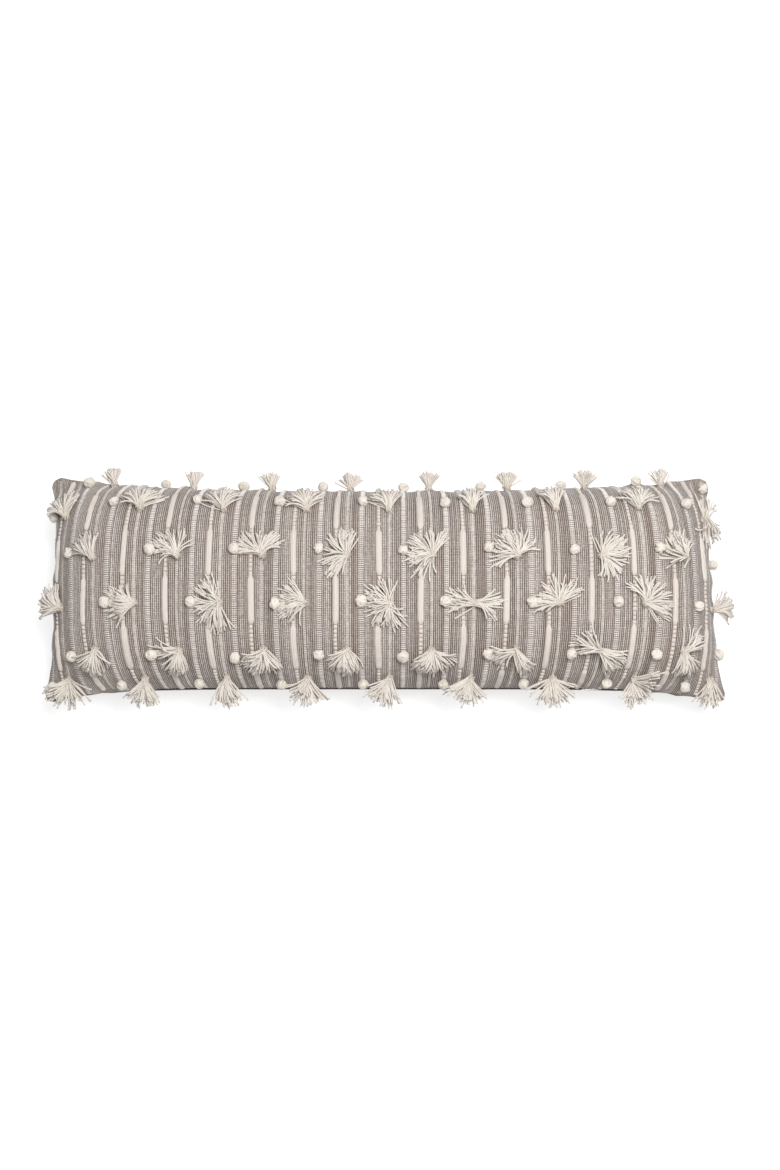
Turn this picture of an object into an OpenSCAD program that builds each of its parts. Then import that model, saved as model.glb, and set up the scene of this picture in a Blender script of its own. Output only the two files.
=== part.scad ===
// Long handwoven throw pillow: a zipped two-panel cover over a filled insert.
// The front carries lengthwise-spaced stripes of thick yarn, ladder weave and
// fine dashed weave, with knots and cut-yarn tassels in a half-drop repeat.
// +X runs along the length, +Y towards the top edge, +Z up. The origin is the
// middle of the patch that the pillow rests on.

/* [Cover] */
// Length of each cover panel from seam to seam, laid flat
panel_l = 1030; // [860:1:1240]
// Width of each cover panel from seam to seam, laid flat
panel_w = 381; // [320:1:460]
// Thickness of the ribbed cover cloth
cloth_t = 1.6; // [1:0.1:2.4]
// How far each corner stands out past the middle of an end
corner_out_x = 12; // [4:1:24]
// How far each corner stands out past the middle of a side
corner_out_y = 24; // [10:1:34]
// How much of the crown height stays below the seam when the pillow rests
rest_share = 0.86; // [0.75:0.01:0.95]

/* [Insert] */
// Thickness of the insert's case cloth
case_t = 0.6; // [0.3:0.1:1.2]
// Room between the faces of cover, case and fill
layer_gap = 0.5; // [0.3:0.1:1]
// Room between the cover's seam and the insert's seam
seam_room = 7; // [6.5:0.5:14]

/* [Woven stripes] */
// Distance from one thick yarn to the next
stripe_pitch = 58.6; // [50:0.1:62]
// Place of the middle thick yarn, from the panel's middle
stripe_shift = -6; // [-12:0.5:12]
// Length of one float, and of one bound stretch
float_l = 68; // [60:0.5:72]
// Width of the thick yarn where it floats
float_w = 8.8; // [6:0.1:11]
// Width of the thick yarn where the weave binds it
bound_w = 5; // [3:0.1:7]
// Distance from a thick yarn to the dashed band on its right
dash_from_yarn = 15.2; // [12:0.1:17]
// Width of a dashed band
dash_w = 3.6; // [2.5:0.1:5]
// Distance from a thick yarn to the ladder band on its right
ladder_from_yarn = 35.2; // [32:0.1:40]
// Width of a ladder band
ladder_w = 7.8; // [5:0.1:10]
// How far a band stands out of the cloth
band_t = 0.8; // [0.5:0.1:1.4]
// Depth that stripes, knots and tassels bite into the cloth
bite = 0.5; // [0.3:0.1:0.9]

/* [Knots and tassels] */
// Diameter of a knot
knot_d = 14; // [9:0.5:17]
// Length of a tassel
tassel_l = 36; // [24:1:46]
// Diameter of a tassel at its cut end
tassel_d = 14; // [8:0.5:20]
// Diameter of a tassel where it is tied
tassel_neck_d = 6; // [4:0.5:8]

/* [Zip] */
// Travel of the slider
zip_travel = 586; // [400:1:600]
// Place of the middle of the slider's travel, from the pillow's middle
zip_middle = 9; // [-20:1:20]
// Width of one tape
tape_w = 9; // [7:0.5:9.5]
// Thickness of the tapes
tape_t = 0.5; // [0.4:0.1:0.7]
// Width of one coil, square to the zip
coil_w = 1.7; // [1.4:0.1:2.2]
// Height of the coils above the tapes
coil_h = 1.75; // [1.4:0.05:2]
// Slit between the two tapes, that the slider's post runs in
zip_slit = 1.2; // [1:0.1:1.6]
// Running clearance round the slider
zip_play = 0.3; // [0.2:0.05:0.5]
// Depth of the tapes behind the outside of the cover
zip_set_back = 3.2; // [2.9:0.1:3.8]
// Length of the slider
slider_l = 9.5; // [8:0.5:12]
// Thickness of the slider's plates
plate_t = 1; // [0.7:0.1:1.2]
// Length of the pull beyond its eye
pull_l = 20; // [14:1:28]
// Width of the pull
pull_w = 6; // [5.4:0.1:8]
// Thickness of the pull
pull_t = 1.1; // [0.8:0.1:1.4]
// Diameter of the sewing thread
thread_d = 1; // [0.6:0.1:1.4]

/* [Hidden] */

$fn = 32;
taupe = [0.60, 0.56, 0.53];
cream = [0.93, 0.90, 0.83];
calico = [0.90, 0.89, 0.86];
zip_grey = [0.50, 0.46, 0.43];

// ---- Cushion form: position on the cloth from its flat thread coordinates ----

// How fast the cloth turns from level to upright: across the width, and at the ends
side_turn = 1.65;
end_turn = 1.4;
steps = 60;
// Running sums of a unit length of cloth whose slope turns from level to upright
function reach_table(turn) =
    [for (i = 0, sum = 0; i <= steps;
          sum = sum + cos(90 * pow((i + 0.5) / steps, turn)) / steps, i = i + 1)
        [i / steps, sum]];
function drop_table(turn) =
    [for (i = 0, sum = 0; i <= steps;
          sum = sum + sin(90 * pow((i + 0.5) / steps, turn)) / steps, i = i + 1)
        [i / steps, sum]];
side_reach = reach_table(side_turn);
side_drop = drop_table(side_turn);
end_reach = reach_table(end_turn);
end_drop = drop_table(end_turn);

half_l = panel_l / 2;
half_w = panel_w / 2;
rise = half_w * lookup(1, side_drop);        // crown height above the seam
end_zone = rise / lookup(1, end_drop);       // cloth that turns over each end
flat_zone = half_l - end_zone;
mid_x = flat_zone + end_zone * lookup(1, end_reach);
mid_y = half_w * lookup(1, side_reach);
seam_z = rise * rest_share;                  // seam height above the rest plane
seam_gap = 0.2;                              // between the two panels' edges

function mix(a, b, w) = a + (b - a) * w;
function ramp(x, a, b) = min(1, max(0, (x - a) / (b - a)));
// Plan position and height share along the length, u from -1 to 1
function along(u) =
    let (a = abs(u) * half_l, e = max(0, a - flat_zone) / end_zone)
    sign(u) * (min(a, flat_zone) + end_zone * lookup(e, end_reach)) / mid_x;
function along_height(u) =
    let (e = max(0, abs(u) * half_l - flat_zone) / end_zone)
    1 - lookup(e, end_drop) / lookup(1, end_drop);
// The same across the width, v from -1 to 1
function across(v) = sign(v) * lookup(abs(v), side_reach) / lookup(1, side_reach);
function across_height(v) = 1 - lookup(abs(v), side_drop) / lookup(1, side_drop);
// The seam's outline: the sides and ends pull in between the corners, or run
// straight with no ears
function outline_x(v, ears) = mid_x + ears * corner_out_x * pow(abs(v), 4);
function outline_y(u, ears) = mid_y + ears * corner_out_y * pow(abs(u), 5.5);

// The form's lining: points in_edge in from the outline and in_face down from the
// crown, above the seam with side 1 and below it with side -1
function plan(u, v, in_edge, ears) = [
    (outline_x(v, ears) - in_edge) * mix(along(u), u, pow(abs(v), 3)),
    (outline_y(u, ears) - in_edge) * mix(across(v), v, pow(abs(u), 6))];
function lining(u, v, side, in_edge, in_face, ears) =
    let (p = plan(u, v, in_edge, ears),
         up = seam_gap / 2 + (rise - in_face) * along_height(u) * across_height(v))
    [p.x, p.y, side > 0 ? seam_z + up : max(in_face, seam_z - up)];
// The way out of the form at a point
nudge = 0.004;
function unit(a) = a / norm(a);
function u_way(u, v, side, in_edge, in_face, ears) =
    unit(lining(min(1, u + nudge), v, side, in_edge, in_face, ears)
       - lining(max(-1, u - nudge), v, side, in_edge, in_face, ears));
function v_way(u, v, side, in_edge, in_face, ears) =
    unit(lining(u, min(1, v + nudge), side, in_edge, in_face, ears)
       - lining(u, max(-1, v - nudge), side, in_edge, in_face, ears));
function out_way(u, v, side, in_edge, in_face, ears) =
    side * unit(cross(u_way(u, v, side, in_edge, in_face, ears),
                      v_way(u, v, side, in_edge, in_face, ears)));

// The zip's window: the panels' lower edges part along the zip
window_h = 6.5;
window_past = 46;                            // a column of faces is no wider than this
zip_half = zip_travel / 2;
function window(u, v) =
    let (past = abs(u * outline_x(1, 1) - zip_middle) - zip_half)
    v > -0.999 ? 0 : window_h * (1 - ramp(past, window_past, 2 * window_past));

// The grid of the form's faces, closer together towards the ends
columns = 24;
rows = 16;
function column_u(i) = let (x = 2 * i / columns - 1) sign(x) * (1 - pow(1 - abs(x), 1.5));
function row_v(j) = 2 * j / rows - 1;

// ---- Solids from grids and rings ----

// A closed slab between two grids of points, the first one on top
module slab(top, under) {
    n = len(top);
    m = len(top[0]);
    half = n * m;
    points = concat([for (line = top) each line], [for (line = under) each line]);
    function at(i, j) = i * m + j;
    rim = concat([for (i = [0:n - 2]) [at(i, 0), at(i + 1, 0)]],
                 [for (j = [0:m - 2]) [at(n - 1, j), at(n - 1, j + 1)]],
                 [for (i = [n - 1:-1:1]) [at(i, m - 1), at(i - 1, m - 1)]],
                 [for (j = [m - 1:-1:1]) [at(0, j), at(0, j - 1)]]);
    faces = concat(
        [for (i = [0:n - 2], j = [0:m - 2]) each [
            [at(i, j), at(i + 1, j + 1), at(i + 1, j)],
            [at(i, j), at(i, j + 1), at(i + 1, j + 1)],
            [half + at(i, j), half + at(i + 1, j), half + at(i + 1, j + 1)],
            [half + at(i, j), half + at(i + 1, j + 1), half + at(i, j + 1)]]],
        [for (e = rim) each [
            [e[0], e[1], half + e[1]],
            [e[0], half + e[1], half + e[0]]]]);
    polyhedron(points, faces);
}

// A closed strand through rings of points
module strand(rings) {
    n = len(rings);
    m = len(rings[0]);
    faces = concat(
        [for (i = [0:n - 2], j = [0:m - 1])
            let (a = i * m + j, b = i * m + (j + 1) % m) each [
                [a, b, b + m],
                [a, b + m, a + m]]],
        [for (j = [1:m - 2]) [0, j + 1, j]],
        [for (j = [1:m - 2]) let (a = (n - 1) * m) [a, a + j, a + j + 1]]);
    polyhedron([for (ring = rings) each ring], faces);
}

// The two faces of one layer of cloth, from its lining outwards by its thickness
function cloth_grid(side, in_edge, in_face, ears, out, parted) =
    [for (i = [0:columns]) let (u = column_u(i)) [for (j = [0:rows])
        let (v = row_v(j), p = lining(u, v, side, in_edge, in_face, ears),
             open = parted ? window(u, v) : 0)
        [p.x, p.y, open > 0 ? seam_z + side * max(open, seam_gap / 2) : p.z]
            + out * (out > 0 ? out_way(u, v, side, in_edge, in_face, ears) : [0, 0, 0])]];
module cloth(side, in_edge, in_face, ears, t, parted) {
    face = cloth_grid(side, in_edge, in_face, ears, t, parted);
    lined = cloth_grid(side, in_edge, in_face, ears, 0, parted);
    slab(side > 0 ? face : lined, side > 0 ? lined : face);
}

// ---- Insert ----

case_in = cloth_t + layer_gap + case_t;      // the case's lining behind the cover's outside
fill_in = case_in + layer_gap;

module insert_fill() {
    in_edge = seam_room + case_t + layer_gap;
    color(calico) slab(cloth_grid(1, in_edge, fill_in, 0, 0, false),
                       cloth_grid(-1, in_edge, fill_in, 0, 0, false));
}
module insert_case_front() color(calico) cloth(1, seam_room + case_t, case_in, 0, case_t, false);
module insert_case_back() color(calico) cloth(-1, seam_room + case_t, case_in, 0, case_t, false);

// ---- Cover panels ----

module front_panel() color(taupe) cloth(1, cloth_t, cloth_t, 1, cloth_t, true);
module back_panel() color(taupe) cloth(-1, cloth_t, cloth_t, 1, cloth_t, true);

// Thread along the outline's seam, from one end of an opening round to the other
seam_stops = 12;
function seam_round(from, to) = concat(
    [for (i = [0:seam_stops]) [mix(from, 1, i / seam_stops), -1]],
    [for (i = [1:seam_stops]) [1, mix(-1, 1, i / seam_stops)]],
    [for (i = [1:2 * seam_stops]) [mix(1, -1, i / seam_stops / 2), 1]],
    [for (i = [1:seam_stops]) [-1, mix(1, -1, i / seam_stops)]],
    [for (i = [1:seam_stops]) [mix(-1, to, i / seam_stops), -1]]);
module seam_thread(from, to, in_edge, ears) {
    stops = [for (s = seam_round(from, to)) plan(s[0], s[1], in_edge, ears)];
    last = len(stops) - 1;
    r = thread_d / 2;
    strand([for (i = [0:last])
        let (d = stops[min(last, i + 1)] - stops[max(0, i - 1)],
             n = [d.y, -d.x] / norm(d),
             c = [stops[i].x, stops[i].y, seam_z])
        [c + [0, 0, r], c + [n.x, n.y, 0] * r, c - [0, 0, r], c - [n.x, n.y, 0] * r]]);
}
module edge_seam_thread() {
    parted = zip_half + 2 * window_past;
    color(taupe) seam_thread((zip_middle + parted) / mid_x, (zip_middle - parted) / mid_x,
                             cloth_t, 1);
}
insert_gap = 0.02;                           // the insert's seam meets itself here
module insert_seam_thread() {
    color(calico) seam_thread(insert_gap, -insert_gap, seam_room + case_t, 0);
}

// ---- Woven stripes on the front ----

yarn_count = 17;
row_count = 6;
yarn_middle = (yarn_count - 1) / 2;
function yarn_u(k) = (stripe_shift + (k - yarn_middle) * stripe_pitch) / half_l;
function row_centre(r) = ((row_count - 1) / 2 - r) * float_l / half_w;
function row_at(v) = floor(row_count / 2 - v * half_w / float_l);
function floats(k, r) = (k + r) % 2 == 0;
function front_out(u, v) = out_way(u, v, 1, cloth_t, cloth_t, 1);
function outside(u, v) = lining(u, v, 1, cloth_t, cloth_t, 1) + front_out(u, v) * cloth_t;
// Stripes end just short of the seams, and above the zip's window and its stitches
stripe_end = 1 - (window_h + 3) / half_w;
stripe_stops = [for (j = [0:rows]) max(-stripe_end, min(stripe_end, row_v(j)))];

// A flat band, or with crown a rounded one, along the width at u
module stripe(u, widths, tall, crown) {
    strand([for (j = [0:rows])
        let (v = stripe_stops[j], c = outside(u, v), n = front_out(u, v), w = widths[j] / 2,
             a = unit(cross(v_way(u, v, 1, cloth_t, cloth_t, 1), n)))
        concat([c - a * w - n * bite, c + a * w - n * bite],
               crown ? [c + a * w * 0.7 + n * tall * 0.7, c + n * tall,
                        c - a * w * 0.7 + n * tall * 0.7]
                     : [c + a * w + n * tall, c - a * w + n * tall])]);
}
module thick_yarn(k) {
    widths = [for (v = stripe_stops) floats(k, row_at(v)) ? float_w : bound_w];
    color(cream) stripe(yarn_u(k), widths, bound_w * 0.6, true);
}
module ladder_bands() {
    widths = [for (v = stripe_stops) ladder_w];
    color(cream) for (k = [-1:yarn_count - 1])
        stripe(yarn_u(k) + ladder_from_yarn / half_l, widths, band_t, false);
}
module dashed_bands() {
    widths = [for (v = stripe_stops) dash_w];
    color(cream) for (k = [0:yarn_count - 1])
        stripe(yarn_u(k) + dash_from_yarn / half_l, widths, band_t, false);
}

// ---- Knots and tassels ----

// Knots and tassels stay this far from the seams, clear of the zip's slider
edge_keep = 14;
edge_v = 1 - edge_keep / half_w;
function kept(v) = max(-edge_v, min(edge_v, v));

module knots(r) {
    v = kept(row_centre(r));
    color(cream) for (k = [-1:yarn_count - 1]) if (floats(abs(k), r)) {
        u = yarn_u(k) + ladder_from_yarn / half_l;
        translate(outside(u, v) + front_out(u, v) * (knot_d / 2 - bite)) sphere(d = knot_d);
    }
}

// The way each row's tassels fall, in degrees from +X towards +Y
tassel_falls = [92, 92, 92, 268, 268, 268];
tie_drop = 4;                                // each is tied this far below its row's middle
stand_out = 0.6;                             // share of a fall past the edge that stands out
// Turns +Z to point along a
module aim(a) {
    rotate([0, acos(a.z / norm(a)), atan2(a.y, a.x)]) children();
}
// One tassel along +Z: a blunt head where it is tied, then its strands as one spreading cone
module tassel(l) {
    neck = tassel_neck_d / 2;
    blunt = neck * sqrt(0.5);
    rotate_extrude()
        polygon([[0, -neck], [blunt, -blunt], [neck, 0], [tassel_d / 2, l], [0, l]]);
}
module tassels(r) {
    fall = [cos(tassel_falls[r]) * tassel_l / half_l, sin(tassel_falls[r]) * tassel_l / half_w];
    color(cream) for (k = [0:yarn_count - 1]) if (!floats(k, r)) {
        u = yarn_u(k) + dash_from_yarn / half_l;
        v = kept(row_centre(r) - tie_drop / half_w);
        tip_u = u + fall.x;
        tip_v = kept(v + fall.y);
        past = abs(v + fall.y - tip_v) * half_w;
        root = outside(u, v) + front_out(u, v) * (tassel_neck_d / 2 - bite);
        tip = outside(tip_u, tip_v)
            + front_out(tip_u, tip_v) * (tassel_d / 2 - bite + stand_out * past);
        translate(root) aim(tip - root) tassel(norm(tip - root));
    }
}

// ---- Zip, set in the lower edge ----
// Local frame: x along the zip, y outwards from the tapes' middle, z up across them

zip_y = -(mid_y - zip_set_back);
slider_x = zip_middle + zip_half;            // the slider at rest, with the zip closed
tape_over = 14;                              // tape past each stop
stop_gap = 0.2;
stop_l = 3;
coil_end = zip_half + slider_l / 2 + stop_gap;
plate_out = tape_t / 2 + coil_h + zip_play;  // inner face of the slider's outer plate
side_out = zip_slit / 2 + coil_w + zip_play; // inner face of the slider's side walls
wall_t = 1.2;
slider_w = 2 * (side_out + wall_t);
eye_bar = pull_t + 0.2;                      // the rolled bar that the pull swings on
axis_out = plate_out + plate_t + 0.25 + eye_bar / 2;
bridge_t = 0.7;
bridge_w = 1.6;

module on_zip(x) {
    translate([x, zip_y, seam_z]) mirror([0, 1, 0]) children();
}
module zip_tape() {
    l = 2 * (coil_end + stop_l + tape_over);
    on_zip(zip_middle - l / 2) translate([0, -tape_t / 2, zip_slit / 2]) cube([l, tape_t, tape_w]);
}
module zip_coil() {
    r = coil_w / 2;
    on_zip(zip_middle - coil_end) rotate([90, 0, 90]) linear_extrude(height = 2 * coil_end) {
        translate([tape_t / 2, zip_slit / 2]) square([coil_h - r, coil_w]);
        translate([tape_t / 2 + coil_h - r, zip_slit / 2 + r]) circle(r = r);
    }
}
stitch_pitch = 12;
stitch_in = 0.9;
// The panels' edges swing out from the straight zip towards its ends
module zip_stitches() {
    count = floor(2 * coil_end / stitch_pitch);
    for (i = [0:count]) {
        x = zip_middle + (i - count / 2) * stitch_pitch;
        reach = zip_set_back + outline_y(x / mid_x, 1) - mid_y;
        on_zip(x) translate([0, -tape_t / 2, window_h + stitch_in]) rotate([-90, 0, 0])
            cylinder(h = reach, d = thread_d * 0.7);
    }
}
module flip_down() {
    translate([0, 0, seam_z]) mirror([0, 0, 1]) translate([0, 0, -seam_z]) children();
}
module zip_tape_upper() color(zip_grey) zip_tape();
module zip_tape_lower() color(zip_grey) flip_down() zip_tape();
module zip_coil_upper() color(zip_grey) zip_coil();
module zip_coil_lower() color(zip_grey) flip_down() zip_coil();
module zip_stitches_upper() color(taupe) zip_stitches();
module zip_stitches_lower() color(taupe) flip_down() zip_stitches();
module zip_top_stop() {
    on_zip(zip_middle + coil_end + stop_gap) translate([0, -tape_t, zip_slit / 2])
        cube([stop_l, coil_h + 1.5 * tape_t, coil_w]);
}
module zip_top_stops() color(zip_grey) {
    zip_top_stop();
    flip_down() zip_top_stop();
}
module zip_bottom_stop() {
    w = zip_slit + 2 * coil_w;
    color(zip_grey) on_zip(zip_middle - coil_end - stop_gap - stop_l) translate([0, -tape_t, -w / 2])
        cube([stop_l, coil_h + 1.5 * tape_t, w]);
}
// The slider: two plates joined by the post in the slit, side walls and a bridge
module slider_plate() {
    nose_r = slider_w * 0.36;
    rotate([-90, 0, 0]) linear_extrude(height = plate_t) {
        square([slider_l, slider_w - 2 * wall_t], center = true);
        translate([slider_l / 2 - nose_r, 0]) square([2 * nose_r, slider_w], center = true);
        for (side = [-1, 1]) translate([nose_r - slider_l / 2, side * (slider_w / 2 - nose_r)])
            circle(r = nose_r);
        translate([0, 0]) square([slider_l - 2 * nose_r, slider_w], center = true);
    }
}
module zip_slider() {
    back = -tape_t / 2 - zip_play - plate_t;
    post_t = zip_slit - 2 * zip_play;
    post_l = 2.4;
    bridge_h = axis_out + eye_bar / 2 + 0.3 - plate_out - plate_t + bridge_t;
    bridge_l = eye_bar + 2 * 0.7 + 2 * bridge_t;
    color(zip_grey) on_zip(slider_x) {
        translate([0, plate_out, 0]) slider_plate();
        translate([0, back, 0]) slider_plate();
        translate([slider_l / 2 - post_l - 0.6, back, -post_t / 2])
            cube([post_l, plate_out + plate_t - back, post_t]);
        for (side = [-1, 1])
            translate([0, tape_t / 2 + zip_play + (plate_out - tape_t / 2 - zip_play) / 2,
                       side * (side_out + wall_t / 2)])
                cube([slider_l * 0.6, plate_out - tape_t / 2 - zip_play, wall_t], center = true);
        difference() {
            translate([-bridge_l / 2, plate_out + plate_t, -bridge_w / 2])
                cube([bridge_l, bridge_h, bridge_w]);
            translate([bridge_t - bridge_l / 2, plate_out + plate_t - 1, -bridge_w])
                cube([bridge_l - 2 * bridge_t, 1 + bridge_h - bridge_t, 2 * bridge_w]);
        }
    }
}
// The pull at rest lies back along the closed zip
module zip_pull() {
    slot_w = bridge_w + 1.2;
    slot_l = 4.4;
    color(zip_grey) on_zip(slider_x) translate([0, axis_out, 0]) {
        translate([0, 0, -pull_w / 2]) cylinder(h = pull_w, d = eye_bar);
        translate([0, -pull_t / 2, 0]) rotate([-90, 0, 0]) linear_extrude(height = pull_t)
            difference() {
                union() {
                    translate([-slot_l - 3, -pull_w / 2]) square([slot_l + 3, pull_w]);
                    translate([-pull_l / 2 - slot_l, 0])
                        square([pull_l - 4, pull_w * 0.66], center = true);
                    translate([-pull_l - slot_l + pull_w / 2, 0]) circle(d = pull_w);
                }
                translate([-eye_bar / 2 - slot_l, -slot_w / 2]) square([slot_l, slot_w]);
            }
    }
}

insert_fill();
insert_case_front();
insert_case_back();
insert_seam_thread();
front_panel();
back_panel();
edge_seam_thread();
zip_tape_upper();
zip_tape_lower();
zip_coil_upper();
zip_coil_lower();
zip_stitches_upper();
zip_stitches_lower();
zip_top_stops();
zip_bottom_stop();
zip_slider();
zip_pull();
thick_yarn(0);  // thick_yarn_01
thick_yarn(1);  // thick_yarn_02
thick_yarn(2);  // thick_yarn_03
thick_yarn(3);  // thick_yarn_04
thick_yarn(4);  // thick_yarn_05
thick_yarn(5);  // thick_yarn_06
thick_yarn(6);  // thick_yarn_07
thick_yarn(7);  // thick_yarn_08
thick_yarn(8);  // thick_yarn_09
thick_yarn(9);  // thick_yarn_10
thick_yarn(10);  // thick_yarn_11
thick_yarn(11);  // thick_yarn_12
thick_yarn(12);  // thick_yarn_13
thick_yarn(13);  // thick_yarn_14
thick_yarn(14);  // thick_yarn_15
thick_yarn(15);  // thick_yarn_16
thick_yarn(16);  // thick_yarn_17
ladder_bands();
dashed_bands();
knots(0);  // knots_row_1
knots(1);  // knots_row_2
knots(2);  // knots_row_3
knots(3);  // knots_row_4
knots(4);  // knots_row_5
knots(5);  // knots_row_6
tassels(0);  // tassels_row_1
tassels(1);  // tassels_row_2
tassels(2);  // tassels_row_3
tassels(3);  // tassels_row_4
tassels(4);  // tassels_row_5
tassels(5);  // tassels_row_6
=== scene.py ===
"""A long handwoven throw pillow: a zipped two-panel cover over a filled insert."""

import math

import bpy
import numpy as np
from mathutils import Matrix, Vector
from mathutils.bvhtree import BVHTree


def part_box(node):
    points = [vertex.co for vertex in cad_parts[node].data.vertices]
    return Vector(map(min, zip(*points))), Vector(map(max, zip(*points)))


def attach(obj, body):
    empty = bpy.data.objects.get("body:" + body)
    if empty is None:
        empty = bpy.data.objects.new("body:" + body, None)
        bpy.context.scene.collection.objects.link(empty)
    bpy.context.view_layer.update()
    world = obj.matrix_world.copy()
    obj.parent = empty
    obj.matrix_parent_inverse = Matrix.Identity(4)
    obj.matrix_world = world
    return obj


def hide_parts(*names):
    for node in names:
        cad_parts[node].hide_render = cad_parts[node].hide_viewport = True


bl_info = {
    "name": "Handwoven throw pillow",
    "version": (1, 0, 0),
    "blender": (4, 5, 0),
    "location": "View3D > Sidebar > Pillow",
    "description": "Makes the cover, woven stripes, tassels, zip and insert of a throw pillow",
    "category": "Object",
}

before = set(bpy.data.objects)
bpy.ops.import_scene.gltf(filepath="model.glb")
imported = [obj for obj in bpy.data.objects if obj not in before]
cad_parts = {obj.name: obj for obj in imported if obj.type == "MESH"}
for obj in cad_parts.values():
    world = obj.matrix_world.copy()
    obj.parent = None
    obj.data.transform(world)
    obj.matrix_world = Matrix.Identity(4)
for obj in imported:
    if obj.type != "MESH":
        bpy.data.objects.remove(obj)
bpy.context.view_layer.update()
MM = 0.001
BODY = "pillow"
YARNS = 17
ROWS = 6
# What the operators hand on to each other
made = {}


# ---- Sizes and colours ----

def length(name, description, default):
    """A length property in metres."""
    return bpy.props.FloatProperty(
        name=name, description=description, default=default, min=0.0,
        precision=4, subtype="DISTANCE", unit="LENGTH")


def share(name, description, default):
    """A plain number from 0 to 1."""
    return bpy.props.FloatProperty(
        name=name, description=description, default=default, min=0.0, max=1.0)


def colour(name, description, default):
    """A colour property."""
    return bpy.props.FloatVectorProperty(
        name=name, description=description, default=default, size=3, min=0.0, max=1.0,
        subtype="COLOR")


class PillowForm(bpy.types.PropertyGroup):
    """The cut of the cover and how it is filled."""
    panel_length: length("Panel length", "Cover panel from seam to seam, laid flat", 1.030)
    panel_width: length("Panel width", "Cover panel from seam to seam, laid flat", 0.381)
    cloth: length("Cloth thickness", "Thickness of the ribbed cover cloth", 0.0016)
    corner_x: length("Corner reach along", "How far a corner stands past the end's middle", 0.012)
    corner_y: length("Corner reach across", "How far a corner stands past the side's middle", 0.024)
    rest_share: share("Rest share", "Share of the crown height below the seam", 0.86)
    swell: length("Swell", "The furthest that filling moves the cloth off its form", 0.010)


class PillowStripes(bpy.types.PropertyGroup):
    """The woven stripes of the front."""
    pitch: length("Stripe pitch", "From one thick yarn to the next", 0.0586)
    shift: length("Stripe shift", "From the panel's middle back to the middle yarn", 0.006)
    float_length: length("Float length", "One float, and one bound stretch", 0.068)
    float_width: length("Float width", "The thick yarn where it floats", 0.0085)
    float_height: length("Float height", "Height of the thick yarn where it floats", 0.0036)
    bound_width: length("Bound width", "The thick yarn where the weave binds it", 0.0052)
    bead_pitch: length("Bead pitch", "From one bound bead to the next", 0.0060)
    dash_offset: length("Dash offset", "From a thick yarn to its dashed band", 0.0152)
    dash_width: length("Dash width", "Width of a dashed band", 0.0040)
    dash_pitch: length("Dash pitch", "From one dash to the next", 0.0026)
    ladder_offset: length("Ladder offset", "From a thick yarn to its ladder band", 0.0352)
    ladder_width: length("Ladder width", "Width of a ladder band", 0.0078)
    rung_pitch: length("Rung pitch", "From one rung to the next", 0.0030)


class PillowTrim(bpy.types.PropertyGroup):
    """Knots and tassels."""
    knot: length("Knot size", "Width of a knot", 0.0165)
    strand: length("Strand thickness", "Diameter of a tassel's strand", 0.0021)
    strand_length: length("Strand length", "Length of a tassel's strands", 0.043)
    strands: bpy.props.IntProperty(
        name="Strands", description="Strands in one tassel", default=84, min=8, max=120)


class PillowColours(bpy.types.PropertyGroup):
    """Colours of the cloth, yarns and zip."""
    # The darkest colour is painted shade: the cover cloth mixes it into its furrows, and the sewing
    # thread into its ply gaps and flecks.
    deep_shade: colour("Deep shade", "Painted shade for the cloth's furrows and the threads' ply gaps", (0.070, 0.054, 0.045))
    rib_mid: colour("Middle rib", "Most ribs of the cover cloth", (0.408, 0.354, 0.321))
    rib_light: colour("Light rib", "Lightest ribs of the cover cloth", (0.775, 0.710, 0.668))
    cream: colour("Cream yarn", "Thick yarns", (0.650, 0.602, 0.568))
    tassel: colour("Tassel cotton", "Strands of the tassels", (0.750, 0.706, 0.650))
    roving: colour("Roving", "Knots", (0.720, 0.668, 0.606))
    calico: colour("Calico", "Case of the insert", (0.800, 0.780, 0.730))
    zip_cloth: colour("Zip tape", "Tapes and coils of the zip", (0.260, 0.225, 0.200))
    metal: colour("Zip metal", "Slider, pull and stops", (0.420, 0.390, 0.360))
    ladder: colour("Ladder yarn", "Rungs of the ladder bands", (0.720, 0.675, 0.645))
    dash: colour("Dash yarn", "Picks of the dashed bands", (0.620, 0.570, 0.520))
    fibre: colour("Fibre", "Fill of the insert", (0.860, 0.860, 0.850))


class PillowStage(bpy.types.PropertyGroup):
    """The floor, the light and the camera."""
    floor: colour("Floor", "Colour of the floor", (0.60, 0.60, 0.60))
    tilt: bpy.props.FloatProperty(
        name="Camera tilt", description="Angle of the view off the vertical",
        default=math.radians(12), subtype="ANGLE", unit="ROTATION")
    distance: length("Camera distance", "From the camera to the pillow", 3.2)


def settings():
    """The scene's pillow settings, by group."""
    scene = bpy.context.scene
    return scene.pillow_form, scene.pillow_stripes, scene.pillow_trim, scene.pillow_colours


# ---- The filled form, over the cloth's flat thread coordinates ----

# How the slope grows from the crown to the seam, along the sides and at the ends
SIDE_TURN = 1.65
END_TURN = 1.4
TURN_STEPS = 60
CORNER_ROUND = 26 * MM
# How the corners stand out: broad ears along the top side, narrow ones along the zip's side
BROAD_EAR = 3.0
NARROW_EAR = 5.5
# The right end leans out towards its lower corner
END_LEAN = 8 * MM


def running_sums(turn):
    """Reach and drop of a unit of cloth whose slope turns from level to upright."""
    slope = 0.5 * math.pi * ((np.arange(TURN_STEPS) + 0.5) / TURN_STEPS) ** turn
    reach = np.concatenate([[0.0], np.cumsum(np.cos(slope))]) / TURN_STEPS
    drop = np.concatenate([[0.0], np.cumsum(np.sin(slope))]) / TURN_STEPS
    return reach, drop


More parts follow.
